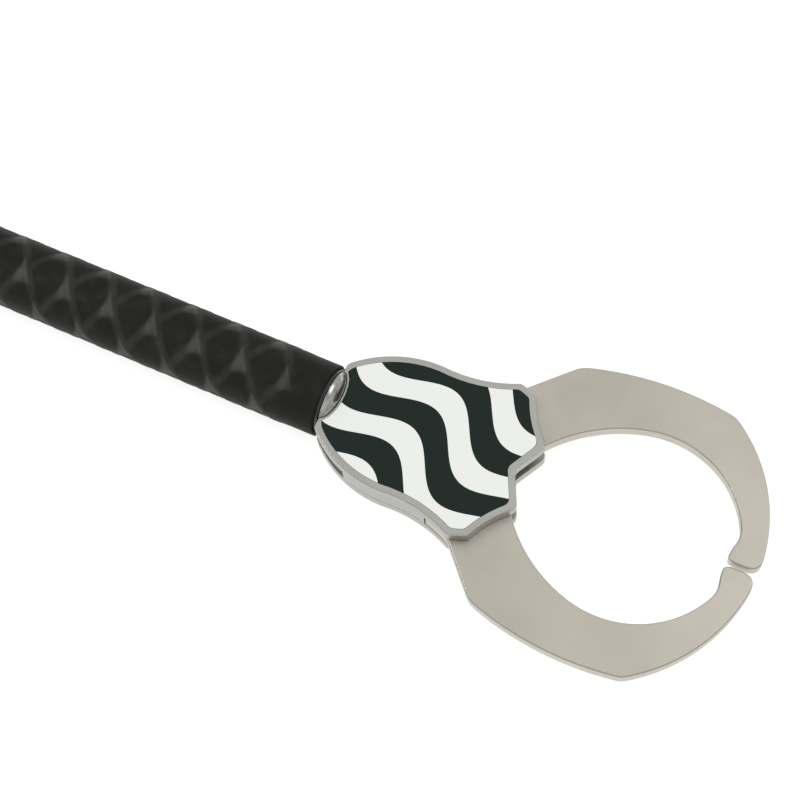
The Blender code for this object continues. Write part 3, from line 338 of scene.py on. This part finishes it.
def rubber(name, slack, drawn, slack_roughness, drawn_roughness):
    """Rubber that turns from its slack colour to a paler one with the mesh's stretch and painted sheen, in slight
    clouds.
    """
    settings = {"Roughness": slack_roughness, "IOR": 1.52, "Specular_IOR_Level": 0.06}
    material, shader = new_finish(name, slack, **settings)
    place = add_node(material, "ShaderNodeTexCoord").outputs["Object"]

    stretch_and_sheen = add_node(material, "ShaderNodeAttribute", {"attribute_name": "stretch_and_sheen"}).outputs["Fac"]
    clouds = add_node(material, "ShaderNodeTexNoise", Vector=place, Scale=1 / RUBBER_CLOUD, Detail=3.0)
    either_way = {"To_Min": -CLOUD_SHARE, "To_Max": CLOUD_SHARE, **SOFT_CLOUDS}
    worn = add_node(material, "ShaderNodeMapRange", Value=clouds.outputs["Fac"], **either_way)
    added = {"_0": stretch_and_sheen, "_1": worn.outputs["Result"]}
    share = add_node(material, "ShaderNodeMath", {"use_clamp": True}, **added).outputs["Value"]
    # The paler colour is partly the stretched rubber's own tone and partly painted sheen and painted highlight.
    tones = {"_0": share, "_6": linear(slack), "_7": linear(drawn)}
    add_node(material, "ShaderNodeMix", MIX_COLOURS, {2: shader.inputs["Base Color"]}, **tones)
    ends = {"To_Min": slack_roughness, "To_Max": drawn_roughness}
    gloss = {"Result": shader.inputs["Roughness"]}
    add_node(material, "ShaderNodeMapRange", None, gloss, Value=share, **ends)

    pebble = add_node(material, "ShaderNodeTexNoise", Vector=place, Scale=1 / PEBBLE, Detail=2.0)
    skin = {"Height": pebble.outputs["Fac"], "Distance": PEBBLE_DEPTH}
    add_node(material, "ShaderNodeBump", None, {"Normal": shader.inputs["Normal"]}, **skin)
    return material


# The paler tone of the grip is partly stretched rubber and partly painted sheen on the cords.
sleeve_rubber = rubber("shrink_rubber", "#21221e", "#474843", 0.50, 0.40)
moulded_rubber = rubber("moulded_rubber", "#232322", "#2c2c2b", 0.60, 0.55)
print("rubbers:", sleeve_rubber.name, moulded_rubber.name)

# %% [markdown]
# ## Turned and drawn metals
# The plug, bushes, bolts, rod and spring come off a lathe or a drawing die. Both leave fine lines square
# to the axis or along it, about 0.15 mm apart and drawn here at 0.5 mm. An anisotropic shader gives their
# sheen but not the lines. A noise stretched along the lines gives both, because it changes fast across
# them and slowly along them.

# %% Turned metals
TOOL_LINE = 0.5 * MM
TOOL_LINE_LENGTH = 40 * MM
TOOL_LINE_DEPTH = 0.012 * MM
TARNISH = 5 * MM
LINE_SPREAD = 0.08


def turned_metal(name, dark, light, roughness, axis):
    """Bright metal between two tones, with tool lines that change fast along one axis."""
    material, shader = new_finish(name, light, Metallic=1.0, Roughness=roughness)
    place = add_node(material, "ShaderNodeTexCoord").outputs["Object"]

    tarnish = add_node(material, "ShaderNodeTexNoise", Vector=place, Scale=1 / TARNISH, Detail=4.0)
    share = add_node(material, "ShaderNodeMapRange", Value=tarnish.outputs["Fac"], **CRISP_CLOUDS)
    tones = {"_0": share.outputs["Result"], "_6": linear(dark), "_7": linear(light)}
    add_node(material, "ShaderNodeMix", MIX_COLOURS, {2: shader.inputs["Base Color"]}, **tones)

    scale = [1 / TOOL_LINE_LENGTH] * 3
    scale["XYZ".index(axis)] = 1 / TOOL_LINE
    lines = add_node(material, "ShaderNodeMapping", Vector=place, Scale=scale).outputs["Vector"]
    noise = add_node(material, "ShaderNodeTexNoise", Vector=lines, Scale=1.0, Detail=2.0).outputs["Fac"]
    ends = {"To_Min": roughness - LINE_SPREAD, "To_Max": roughness + LINE_SPREAD, **SOFT_CLOUDS}
    gloss = {"Result": shader.inputs["Roughness"]}
    add_node(material, "ShaderNodeMapRange", None, gloss, Value=noise, **ends)
    cut = {"Height": noise, "Distance": TOOL_LINE_DEPTH}
    add_node(material, "ShaderNodeBump", None, {"Normal": shader.inputs["Normal"]}, **cut)
    return material


turned_aluminium = turned_metal("aluminium_turned", "#8d8d86", "#c4c4bc", 0.24, "Y")
drawn_steel = turned_metal("steel_drawn", "#a8a7a0", "#b9b8b1", 0.28, "Y")
bronze = turned_metal("bronze_turned", "#9c7442", "#b98f58", 0.32, "Z")
bolt_steel = turned_metal("steel_bolt", "#858480", "#9a9994", 0.34, "Z")
spring_steel = turned_metal("spring_wire_oiled", "#6f7072", "#8a8b8d", 0.30, "Y")
turned_metals = (turned_aluminium, drawn_steel, bronze, bolt_steel, spring_steel)
print("turned and drawn metals:", ", ".join(metal.name for metal in turned_metals))

# %% [markdown]
# ## Black anodised tube
# The tube is aluminium, anodised black and sealed. Only its front end shows, a thin ring between the grip
# and the head. Dye in the oxide makes it black, and the sealed oxide is glossy, like a coat of varnish. A
# coat over a black metal would look the same, and one glossy black does it with fewer settings. Smears a
# few millimetres wide, as hands leave them, keep the gloss from being even.

# %% Anodised tube
SMEAR = 5 * MM
SEALED_SMOOTHEST = 0.11
SEALED_ROUGHEST = 0.24
anodised, anodised_shader = new_finish("aluminium_anodised_black", "#0c0c0c", Roughness=0.16, IOR=1.6)
anodised_place = add_node(anodised, "ShaderNodeTexCoord").outputs["Object"]
smears = add_node(anodised, "ShaderNodeTexNoise", Vector=anodised_place, Scale=1 / SMEAR, Detail=4.0)
smear_ends = {"To_Min": SEALED_SMOOTHEST, "To_Max": SEALED_ROUGHEST, **SOFT_CLOUDS}
smear_gloss = {"Result": anodised_shader.inputs["Roughness"]}
add_node(anodised, "ShaderNodeMapRange", None, smear_gloss, Value=smears.outputs["Fac"], **smear_ends)
print("tube finish:", anodised.name)

# %% [markdown]
# ## Pieces that stand for CAD nodes
# Each finer piece has to move with its body and hide the plain solid that it stands for. Its body is
# looked up in the record, and both are set in one place with the finishes that it is given.

# %% Settle a piece in the frame


def body_of(node):
    """CAD body that a node belongs to."""
    for body, members in frame["record"]["behaviour"]["bodies"].items():
        if node in members:
            return body
    raise KeyError(node)


def slot_of(node):
    """Material slot that a node has in the record."""
    return next(s["material_slot"] for s in frame["record"]["subparts"] if s["node"] == node)


def settle(name, mesh, node, *finishes):
    """Object that has its finishes, rides on the node's body and stands for the node."""
    piece = bpy.data.objects.new(name, mesh)
    for finish in finishes:
        mesh.materials.append(finish)
    bpy.context.scene.collection.objects.link(piece)
    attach(piece, body_of(node))
    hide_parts(node)
    return piece


print("right_jaw rides on", body_of("right_jaw"), "and its slot is", slot_of("right_jaw"))

# %% [markdown]
# ## Finer twins of the CAD pieces
# CAD solids arrive as flat facets with razor edges. No real edge is that sharp, so each piece is copied,
# its flat facets are joined into whole faces, its edges get a small bevel, and its round faces are shaded
# smooth. The bevels could be in the CAD model, but they would multiply its faces, and only a close view
# shows them. On the blasted pieces the bevel, and the chamfers that the CAD already has, get the filed
# finish: a chamfer is a face that is neither flat nor upright.

# %% Copy a node with whole faces
SMOOTH_BELOW = math.radians(28)
WELD_BELOW = 0.002 * MM
FLAT_BELOW = math.radians(0.3)


def whole_faces(node, grow=0.0):
    """Mesh of a CAD node with whole flat faces, grown sideways if asked."""
    bm = bmesh.new()
    bm.from_mesh(nodes[node].data)
    bmesh.ops.remove_doubles(bm, verts=bm.verts, dist=WELD_BELOW)
    bmesh.ops.dissolve_limit(bm, angle_limit=FLAT_BELOW, verts=bm.verts, edges=bm.edges)
    bmesh.ops.recalc_face_normals(bm, faces=bm.faces)
    bm.verts.index_update()
    points = []
    for v in bm.verts:
        sideways = Vector((v.normal.x, v.normal.y, 0))
        points.append(v.co + (sideways.normalized() * grow if grow else Vector()))
    faces = [[v.index for v in f.verts] for f in bm.faces]
    bm.free()
    mesh = bpy.data.meshes.new(node + "_fine")
    mesh.from_pydata(points, [], faces)
    mesh.shade_smooth()
    mesh.set_sharp_from_angle(angle=SMOOTH_BELOW)
    return mesh


print("facets of the right jaw in the CAD model:", len(nodes["right_jaw"].data.polygons))

# %% Break the edges
BEVEL_STEPS = 3
UPRIGHT_BELOW = 0.3
FLAT_ABOVE = 0.95


def fine_twin(node, edge, finish, edge_finish=None, side_finish=None, grow=0.0):
    """Copy of a CAD node with broken edges. Its edges and sides may have finishes of their own."""
    mesh = whole_faces(node, grow)
    piece = settle(mesh.name, mesh, node, *[f for f in (finish, edge_finish, side_finish) if f])
    broken = piece.modifiers.new("broken_edges", "BEVEL")
    broken.width = edge
    broken.segments = BEVEL_STEPS
    broken.limit_method = "ANGLE"
    broken.angle_limit = SMOOTH_BELOW
    broken.use_clamp_overlap = False
    broken.harden_normals = True
    if edge_finish:
        broken.material = 1
        for face in mesh.polygons:
            steep = abs(face.normal.z)
            if UPRIGHT_BELOW < steep < FLAT_ABOVE:
                face.material_index = 1
            elif side_finish and steep <= UPRIGHT_BELOW:
                face.material_index = 2
    return piece


print("edges sharper than", round(math.degrees(SMOOTH_BELOW)), "degrees are broken in", BEVEL_STEPS, "steps")

# %% [markdown]
# ## Jaws, plates, panel and plug
# These are the pieces that the eye meets first. They could be drawn anew from the picture, but the CAD
# outlines were fitted to it already, and twins of them still mesh and turn as the model does. The jaws are
# filed broader than the plates. The panel is grown by most of its gap, so that it fills its recess as a
# pressed-in plate does.

# %% Dress the head and jaws
JAW_EDGE = 0.12 * MM
PLATE_EDGE = 0.10 * MM
PANEL_EDGE = 0.05 * MM
PANEL_GROWTH = 0.2 * MM
PLUG_EDGE = 0.10 * MM
for node in ("left_jaw", "right_jaw"):
    jaw = fine_twin(node, JAW_EDGE, jaw_steel, filed_edge)
    print(node, "has", len(jaw.data.polygons), "whole faces")
for node in ("head_housing", "head_cover"):
    fine_twin(node, PLATE_EDGE, plate_steel, filed_edge, ground_side)
fine_twin("inlay_panel", PANEL_EDGE, panel_print, grow=PANEL_GROWTH)
fine_twin("fork_plug", PLUG_EDGE, turned_aluminium)

# %% [markdown]
# ## Mechanism and fasteners
# The rack, its pad and its pin, the bushes, bolts and screws, and the rod with its washer and nuts keep
# their CAD forms too, because teeth and fits leave nothing to add but broken edges. They show through the
# gaps at the front, and between the jaws when they are open.

# %% Dress the mechanism
SMALL_EDGE = 0.08 * MM
PAD_EDGE = 0.15 * MM
fine_twin("rack_plunger", SMALL_EDGE, jaw_steel, filed_edge)
fine_twin("nose_pad", PAD_EDGE, moulded_rubber)
for node in ("left_pivot_bush", "right_pivot_bush"):
    fine_twin(node, SMALL_EDGE, bronze)
for node in ("spring_washer", "pull_rod"):
    fine_twin(node, SMALL_EDGE, drawn_steel)
fasteners = [node for node in nodes if "_screw" in node or node.endswith(("bolt", "pin", "nut"))]
for node in fasteners:
    fine_twin(node, SMALL_EDGE, bolt_steel)
print("screws, bolts, pins and nuts:", len(fasteners))

# %% [markdown]
# ## Turned pieces
# The tube and the cap are bodies of revolution. A profile of places along the handle and radii, spun round
# X, gives them with as many sides as a close view needs. A Screw modifier would spin it too, but points set
# ring by ring may also have a radius that changes round the ring, which the grip needs.

# %% Spin a profile round the handle's axis
ROUND_SIDES = 96
FINE_ANGLE = math.radians(35)
CORNER_STEPS = 5


def ring_of(bm, x, radius, sides=ROUND_SIDES):
    """Points of a circle round X. The radius may be a function of the angle in degrees."""
    ring = []
    for i in range(sides):
        degrees = 360 * i / sides
        r = radius(degrees) if callable(radius) else radius
        angle = math.radians(degrees)
        ring.append(bm.verts.new((x, r * math.cos(angle), r * math.sin(angle))))
    return ring


def skinned(name, bm, rings, closed):
    """Mesh over rings of equally many points, joined into a tube with a bore or capped at both ends."""
    pairs = list(zip(rings, rings[1:]))
    if closed:
        pairs.append((rings[-1], rings[0]))
    else:
        bm.faces.new(rings[0])
        bm.faces.new(rings[-1])
    for a, b in pairs:
        for i in range(len(a)):
            j = (i + 1) % len(a)
            bm.faces.new((a[i], a[j], b[j], b[i]))
    bmesh.ops.recalc_face_normals(bm, faces=bm.faces)
    mesh = bpy.data.meshes.new(name)
    bm.to_mesh(mesh)
    bm.free()
    mesh.shade_smooth()
    mesh.set_sharp_from_angle(angle=FINE_ANGLE)
    return mesh


def rounded_corner(x, r, radius, start_deg, end_deg, steps=CORNER_STEPS):
    """Profile points round a corner's centre."""
    angles = [math.radians(start_deg + (end_deg - start_deg) * i / steps) for i in range(steps + 1)]
    return [(x + radius * math.cos(a), r + radius * math.sin(a)) for a in angles]


print("turned pieces have", ROUND_SIDES, "sides, one every", 360 / ROUND_SIDES, "degrees")

# %% [markdown]
# ## Tube
# The tube is drawn with a wall of 1.5 mm, and its front edge is broken with a scraper. A bore could be cut
# from a cylinder with a Boolean, but a profile that runs back along the bore leaves nothing to clean up.

# %% Tube
TUBE_R = 15.0 * MM
TUBE_BORE_R = 13.5 * MM
TUBE_EDGE = 0.4 * MM
tube_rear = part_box("handle_tube")[0].x
tube_profile = [(tube_rear, TUBE_R)]
tube_profile += rounded_corner(tube_front - TUBE_EDGE, TUBE_R - TUBE_EDGE, TUBE_EDGE, 90, 0)
tube_profile += [(tube_front, TUBE_BORE_R), (tube_rear, TUBE_BORE_R)]
tube_bm = bmesh.new()
tube_mesh = skinned("tube_fine", tube_bm, [ring_of(tube_bm, x, r) for x, r in tube_profile], closed=True)
settle("tube_fine", tube_mesh, "handle_tube", anodised)
print("tube length:", round((tube_front - tube_rear) / MM), "mm, faces:", len(tube_mesh.polygons))

# %% [markdown]
# ## Relief of the grip
# Three cords of each hand wind round the tube under the rubber, and their crossings make long diamonds.
# Six tubes with a cloth skin shrunk over them would give this, slowly and with an uneven mesh. Here each
# point of the sleeve stands out by how near it is to a cord, measured square to the cord. Where two cords
# cross, their heights are blended and not simply the larger of the two, and between the cords the rubber
# swells to a low pad.

# %% Height of the cords
SLEEVE_R = 16.5 * MM
SLEEVE_BORE_R = 15.3 * MM
CORD_LEAD = 66.4 * MM
CORDS_OF_EACH_HAND = 3
CORD_HEIGHT = 0.35 * MM
CORD_WIDTH = 7.2 * MM
CORD_TOP_WIDTH = 1.6 * MM
PAD_WIDTH = 11.0 * MM
PAD_HEIGHT = 0.22 * MM
CORD_CROSSING = 38.95 * MM
CROSSING_DEG = 100.0
CORDS_END = 12.0 * MM
CORDS_FADE = 5.0 * MM
sleeve_low, sleeve_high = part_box("grip_sleeve")
cord_pitch = CORD_LEAD / CORDS_OF_EACH_HAND
cord_slope = math.cos(math.atan2(CORD_LEAD, 2 * math.pi * SLEEVE_R))


def eased(value, low, high):
    """0 up to low, 1 from high on, and a smooth rise between them."""
    t = min(1.0, max(0.0, (value - low) / (high - low)))
    return t * t * (3 - 2 * t)


def cord_phase(x, degrees, hand):
    """Place between two cords of one hand: -0.5 on the one behind, 0 half way, 0.5 on the one ahead."""
    along = x - (tube_front - CORD_CROSSING) - hand * CORD_LEAD * (degrees - CROSSING_DEG) / 360
    return (along / cord_pitch) % 1 - 0.5


def near_cord(x, degrees, hand, width):
    """1 on top of a cord, falling smoothly to 0 half a width away from its middle."""
    off = (0.5 - abs(cord_phase(x, degrees, hand))) * cord_pitch * cord_slope
    return 1 - eased(off, CORD_TOP_WIDTH / 2, width / 2)


def cords_fade(x):
    """1 along the sleeve, falling to 0 where the cords end."""
    to_end = min(x - sleeve_low.x, sleeve_high.x - x) - CORDS_END
    return min(1.0, max(0.0, to_end / CORDS_FADE))


def clear_of_cords(x, degrees, width):
    """0 on a cord of either hand and 1 in the open diamonds between them."""
    return (1 - near_cord(x, degrees, -1, width)) * (1 - near_cord(x, degrees, 1, width))


def radius_at(x, degrees):
    """Radius of the sleeve: raised over the cords, and a little in the middle of the diamonds."""
    over_cords = CORD_HEIGHT * (1 - clear_of_cords(x, degrees, CORD_WIDTH))
    pads = PAD_HEIGHT * clear_of_cords(x, degrees, PAD_WIDTH)
    return SLEEVE_R + max(over_cords, pads) * cords_fade(x)


sleeve_middle = (sleeve_low.x + sleeve_high.x) / 2
radii = [radius_at(sleeve_middle, degrees) / MM for degrees in range(360)]
print("sleeve radius half way along:", round(min(radii), 2), "to", round(max(radii), 2), "mm")

# %% [markdown]
# ## Stretch and painted sheen of the grip
# The rubber is a little paler where it is stretched over the cords, and the cords also get painted sheen.
# Where an upper cord crosses a lower one, light falls on the upper cord's flank, and that is painted as a
# pale triangle with a crisp edge on one side of the crossing. A blurred copy of the relief would make the
# crossings pale all round, so each triangle is worked out from the place between the cords of both hands.
# Its tip, its reach and the blur of its edge are shares of the pitch between cords, and its hollow is the
# power that curves the edge inwards.

# %% Stretch and painted sheen over the cords
PALE_WIDTH = 5.6 * MM
WEB_TIP = -0.02
WEB_REACH = 0.31
WEB_BLUR = 0.06
WEB_HOLLOW = 1.3
WEB_HIGHLIGHT_SHARE = 0.70


def stretch_and_sheen_at(x, degrees):
    """Share of the paler look, stretch and painted sheen: 0 between the cords and at the ends, 1 in the painted
    highlight of the webs behind the crossings.
    """
    over_cords = 1 - clear_of_cords(x, degrees, PALE_WIDTH)
    upper = cord_phase(x, degrees, 1)
    off_lower = 0.5 - abs(cord_phase(x, degrees, -1))
    spread = max(0.0, (upper - WEB_TIP) / (0.5 - WEB_TIP)) ** WEB_HOLLOW * WEB_REACH
    # Painted highlight: the pale triangle where light falls on the upper cord's flank at a crossing.
    web_highlight = 1 - eased(off_lower, spread - WEB_BLUR, spread + WEB_BLUR)
    web_highlight *= eased(upper, WEB_TIP, WEB_TIP + WEB_REACH) * (1 - eased(upper, 0.5 - WEB_BLUR, 0.5))
    # The cords get a share of the paler tone, partly stretch and partly painted sheen.
    return ((1 - WEB_HIGHLIGHT_SHARE) * over_cords + WEB_HIGHLIGHT_SHARE * web_highlight) * cords_fade(x)


shares = [stretch_and_sheen_at(sleeve_middle, degrees) for degrees in range(360)]
print("mean stretch half way along:", round(sum(shares) / len(shares), 2))

# %% [markdown]
# ## Grip sleeve
# The sleeve is a length of rubber hose with rounded lips, open at both ends. Rings a millimetre apart are
# fine enough to hold the relief in the mesh, where a bump in the material would leave the outline smooth.
# The stretch, with the painted sheen of the cords and the painted highlight of the webs, is kept at each point for
# the material.

# %% Grip sleeve
SLEEVE_SIDES = 132
SLEEVE_STEP = 1.0 * MM
SLEEVE_LIP = 0.5 * MM
first = sleeve_low.x + SLEEVE_LIP
last = sleeve_high.x - SLEEVE_LIP
steps = round((last - first) / SLEEVE_STEP)
sleeve_bm = bmesh.new()
sleeve_rings = [ring_of(sleeve_bm, sleeve_low.x, SLEEVE_R - SLEEVE_LIP, SLEEVE_SIDES)]
for i in range(steps + 1):
    place = first + (last - first) * i / steps
    sleeve_rings.append(ring_of(sleeve_bm, place, lambda degrees: radius_at(place, degrees), SLEEVE_SIDES))
sleeve_rings.append(ring_of(sleeve_bm, sleeve_high.x, SLEEVE_R - SLEEVE_LIP, SLEEVE_SIDES))
sleeve_rings += [ring_of(sleeve_bm, x, SLEEVE_BORE_R, SLEEVE_SIDES) for x in (sleeve_high.x, sleeve_low.x)]
sleeve_mesh = skinned("sleeve_fine", sleeve_bm, sleeve_rings, closed=True)
# Each point keeps its paler share, stretch and painted sheen, for the rubber's colour.
stretch_and_sheen = sleeve_mesh.attributes.new("stretch_and_sheen", "FLOAT", "POINT")
for vertex, value in zip(sleeve_mesh.vertices, stretch_and_sheen.data):
    value.value = stretch_and_sheen_at(vertex.co.x, math.degrees(math.atan2(vertex.co.z, vertex.co.y)))
settle("sleeve_fine", sleeve_mesh, "grip_sleeve", sleeve_rubber)
print("sleeve faces:", len(sleeve_mesh.polygons))

# %% [markdown]
# ## Butt cap
# A moulded rubber cap closes the tube. It has three grip grooves, a rounded edge, and a shallow ring in
# its flat end, where the moulding's core stood. The grooves could be cut one by one, but in a turned piece
# they are only waves in the profile.

# %% Profile of the cap
CAP_R = 17.6 * MM
CAP_ROUND = 2.5 * MM
CAP_LIP = 0.8 * MM
CAP_FLOOR = 5.0 * MM
CAP_BORE_R = 15.3 * MM
CAP_GROOVES = 3
GROOVE_DEPTH = 0.6 * MM
GROOVE_WIDTH = 2.8 * MM
GROOVE_STEPS = 8
CORE_RING_R = 10.0 * MM
CORE_RING_WIDTH = 1.2 * MM
CORE_RING_DEPTH = 0.4 * MM
AXIS_R = 0.01 * MM
cap_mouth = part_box("butt_cap")[1].x

cap_profile = [(0, AXIS_R), (0, CORE_RING_R - CORE_RING_WIDTH)]
cap_profile += [(CORE_RING_DEPTH, CORE_RING_R - CORE_RING_WIDTH / 2), (0, CORE_RING_R)]
cap_profile += rounded_corner(CAP_ROUND, CAP_R - CAP_ROUND, CAP_ROUND, 180, 90)
for k in range(1, CAP_GROOVES + 1):
    middle = CAP_ROUND + (cap_mouth - 2 * CAP_ROUND) / (CAP_GROOVES + 1) * k
    for i in range(GROOVE_STEPS + 1):
        t = i / GROOVE_STEPS
        depth = GROOVE_DEPTH * math.sin(math.pi * t) ** 2
        cap_profile.append((middle + GROOVE_WIDTH * (t - 0.5), CAP_R - depth))
cap_profile += rounded_corner(cap_mouth - CAP_LIP, CAP_R - CAP_LIP, CAP_LIP, 90, 0)
cap_profile += [(cap_mouth, CAP_BORE_R), (CAP_FLOOR, CAP_BORE_R), (CAP_FLOOR, AXIS_R)]
print("points in the cap's profile:", len(cap_profile))

# %% Butt cap
cap_bm = bmesh.new()
cap_mesh = skinned("cap_fine", cap_bm, [ring_of(cap_bm, x, r) for x, r in cap_profile], closed=False)
settle("cap_fine", cap_mesh, "butt_cap", moulded_rubber)
print("cap length:", round(cap_mouth / MM, 1), "mm, faces:", len(cap_mesh.polygons))

# %% [markdown]
# ## Closing spring
# The spring is one length of round wire, with a close turn at each end and open turns between. A curve
# with a round bevel would be shorter to write. Here a circle is carried along the coil, always square to
# it, and joined ring to ring, so the mesh is closed and its ends are flat, as those of cut wire are. When
# the jaws open, the rod's washer presses the spring together towards its fixed front end. Here the spring
# is drawn at its length at rest and rides on its body.

# %% Path of the spring's wire
WIRE_R = 0.8 * MM
COIL_R = 7.0 * MM
TURNS = 8
END_PITCH = 2.3 * MM
TURN_STEPS = 36
spring_low, spring_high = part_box("closing_spring")
open_pitch = (spring_high.x - spring_low.x - 2 * WIRE_R - 2 * END_PITCH) / (TURNS - 2)

coil = []
x = spring_high.x - WIRE_R
for i in range(TURNS * TURN_STEPS + 1):
    angle = 2 * math.pi * i / TURN_STEPS
    coil.append(Vector((x, COIL_R * math.cos(angle), COIL_R * math.sin(angle))))
    x -= (open_pitch if 1 <= i // TURN_STEPS < TURNS - 1 else END_PITCH) / TURN_STEPS
print("spring turns:", TURNS, "with", round(open_pitch / MM, 2), "mm between the open ones")

# %% Closing spring
WIRE_SIDES = 12
wire_angles = [2 * math.pi * k / WIRE_SIDES for k in range(WIRE_SIDES)]
spring_bm = bmesh.new()
spring_rings = []
for i, point in enumerate(coil):
    ahead = (coil[min(i + 1, len(coil) - 1)] - coil[max(i - 1, 0)]).normalized()
    outward = Vector((0, point.y, point.z)).normalized()
    beside = ahead.cross(outward).normalized()
    circle = [point + WIRE_R * (math.cos(a) * outward + math.sin(a) * beside) for a in wire_angles]
    spring_rings.append([spring_bm.verts.new(p) for p in circle])
spring_mesh = skinned("spring_fine", spring_bm, spring_rings, closed=False)
spring = settle("spring_fine", spring_mesh, "closing_spring", spring_steel)
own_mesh(spring)

# %% [markdown]
# ## Floor
# The clamp lies on a sheet of opal acrylic that is lit from below as well as from above. That is how a
# catalogue picture gets a white ground with almost no shadow, and its light also fills the sides and the
# lower edges of the clamp. A floor without a glow would need much stronger lamps, and they would throw a
# shadow. The floor lies just under the cap, which is the thickest part.

# %% Floor
FLOOR_REACH = 40.0
FLOOR_GAP = 0.1 * MM
FLOOR_GLOW = 0.80
FLOOR_ROUGHNESS = 0.7
floor_z = cad_bounds[0][2] - FLOOR_GAP
signs = ((-1, -1), (1, -1), (1, 1), (-1, 1))
corners = [(FLOOR_REACH * along, FLOOR_REACH * across, floor_z) for along, across in signs]
floor_mesh = bpy.data.meshes.new("floor")
floor_mesh.from_pydata(corners, [], [(0, 1, 2, 3)])
glow = {"Roughness": FLOOR_ROUGHNESS, "Emission_Color": linear("#ffffff"), "Emission_Strength": FLOOR_GLOW}
opal = new_finish("opal_acrylic_sheet", "#a6a6a5", **glow)[0]
floor_mesh.materials.append(opal)
floor = bpy.data.objects.new("floor", floor_mesh)
bpy.context.scene.collection.objects.link(floor)
print("floor at z =", round(floor_z / MM, 2), "mm")

# %% [markdown]
# ## Studio light
# A white tent surrounds the clamp, so the blasted steel has an even grey to reflect, where lamps alone
# would leave dark gaps. The tent is darker near the floor, and the far edges of the steel mirror that as
# thin dark lines. One large softbox stands beyond the jaws' tips, where their faces mirror its edge, so the
# steel brightens towards the tips. A small one at the left puts a glint on the plug's dome and on the
# tube's end.

# %% Softboxes


def softbox(name, place, size, power):
    """Square light at a place from the ring's centre, turned towards it."""
    lamp = bpy.data.lights.new(name, "AREA")
    lamp.shape = "SQUARE"
    lamp.size = size
    lamp.energy = power
    light = bpy.data.objects.new(name, lamp)
    facing = (-Vector(place)).to_track_quat("-Z", "Y").to_matrix().to_4x4()
    light.matrix_world = Matrix.Translation(ring_centre + Vector(place)) @ facing
    bpy.context.scene.collection.objects.link(light)
    print(name, "of", size, "m and", power, "W")


softbox("tip_softbox", place=(0.55, 0.50, 1.20), size=0.7, power=3.2)
softbox("left_softbox", place=(-0.9, -0.25, 0.9), size=0.3, power=2.5)

# %% Tent
TENT_COLOUR = "#f1f2f1"
TENT_TOP = 0.86
TENT_FOOT = 0.60
TENT_FOOT_HEIGHT = 0.40
tent = bpy.data.worlds.new("studio")
tent.use_nodes = True
background = tent.node_tree.nodes["Background"]
background.inputs["Color"].default_value = linear(TENT_COLOUR)
looking = add_node(tent, "ShaderNodeTexCoord").outputs["Generated"]
height = add_node(tent, "ShaderNodeSeparateXYZ", Vector=looking).outputs["Z"]
rise = {"From_Min": 0.0, "From_Max": TENT_FOOT_HEIGHT, "To_Min": TENT_FOOT, "To_Max": TENT_TOP}
add_node(tent, "ShaderNodeMapRange", None, {"Result": background.inputs["Strength"]}, Value=height, **rise)
bpy.context.scene.world = tent
print("tent's brightness:", TENT_FOOT, "at the floor and", TENT_TOP, "above")
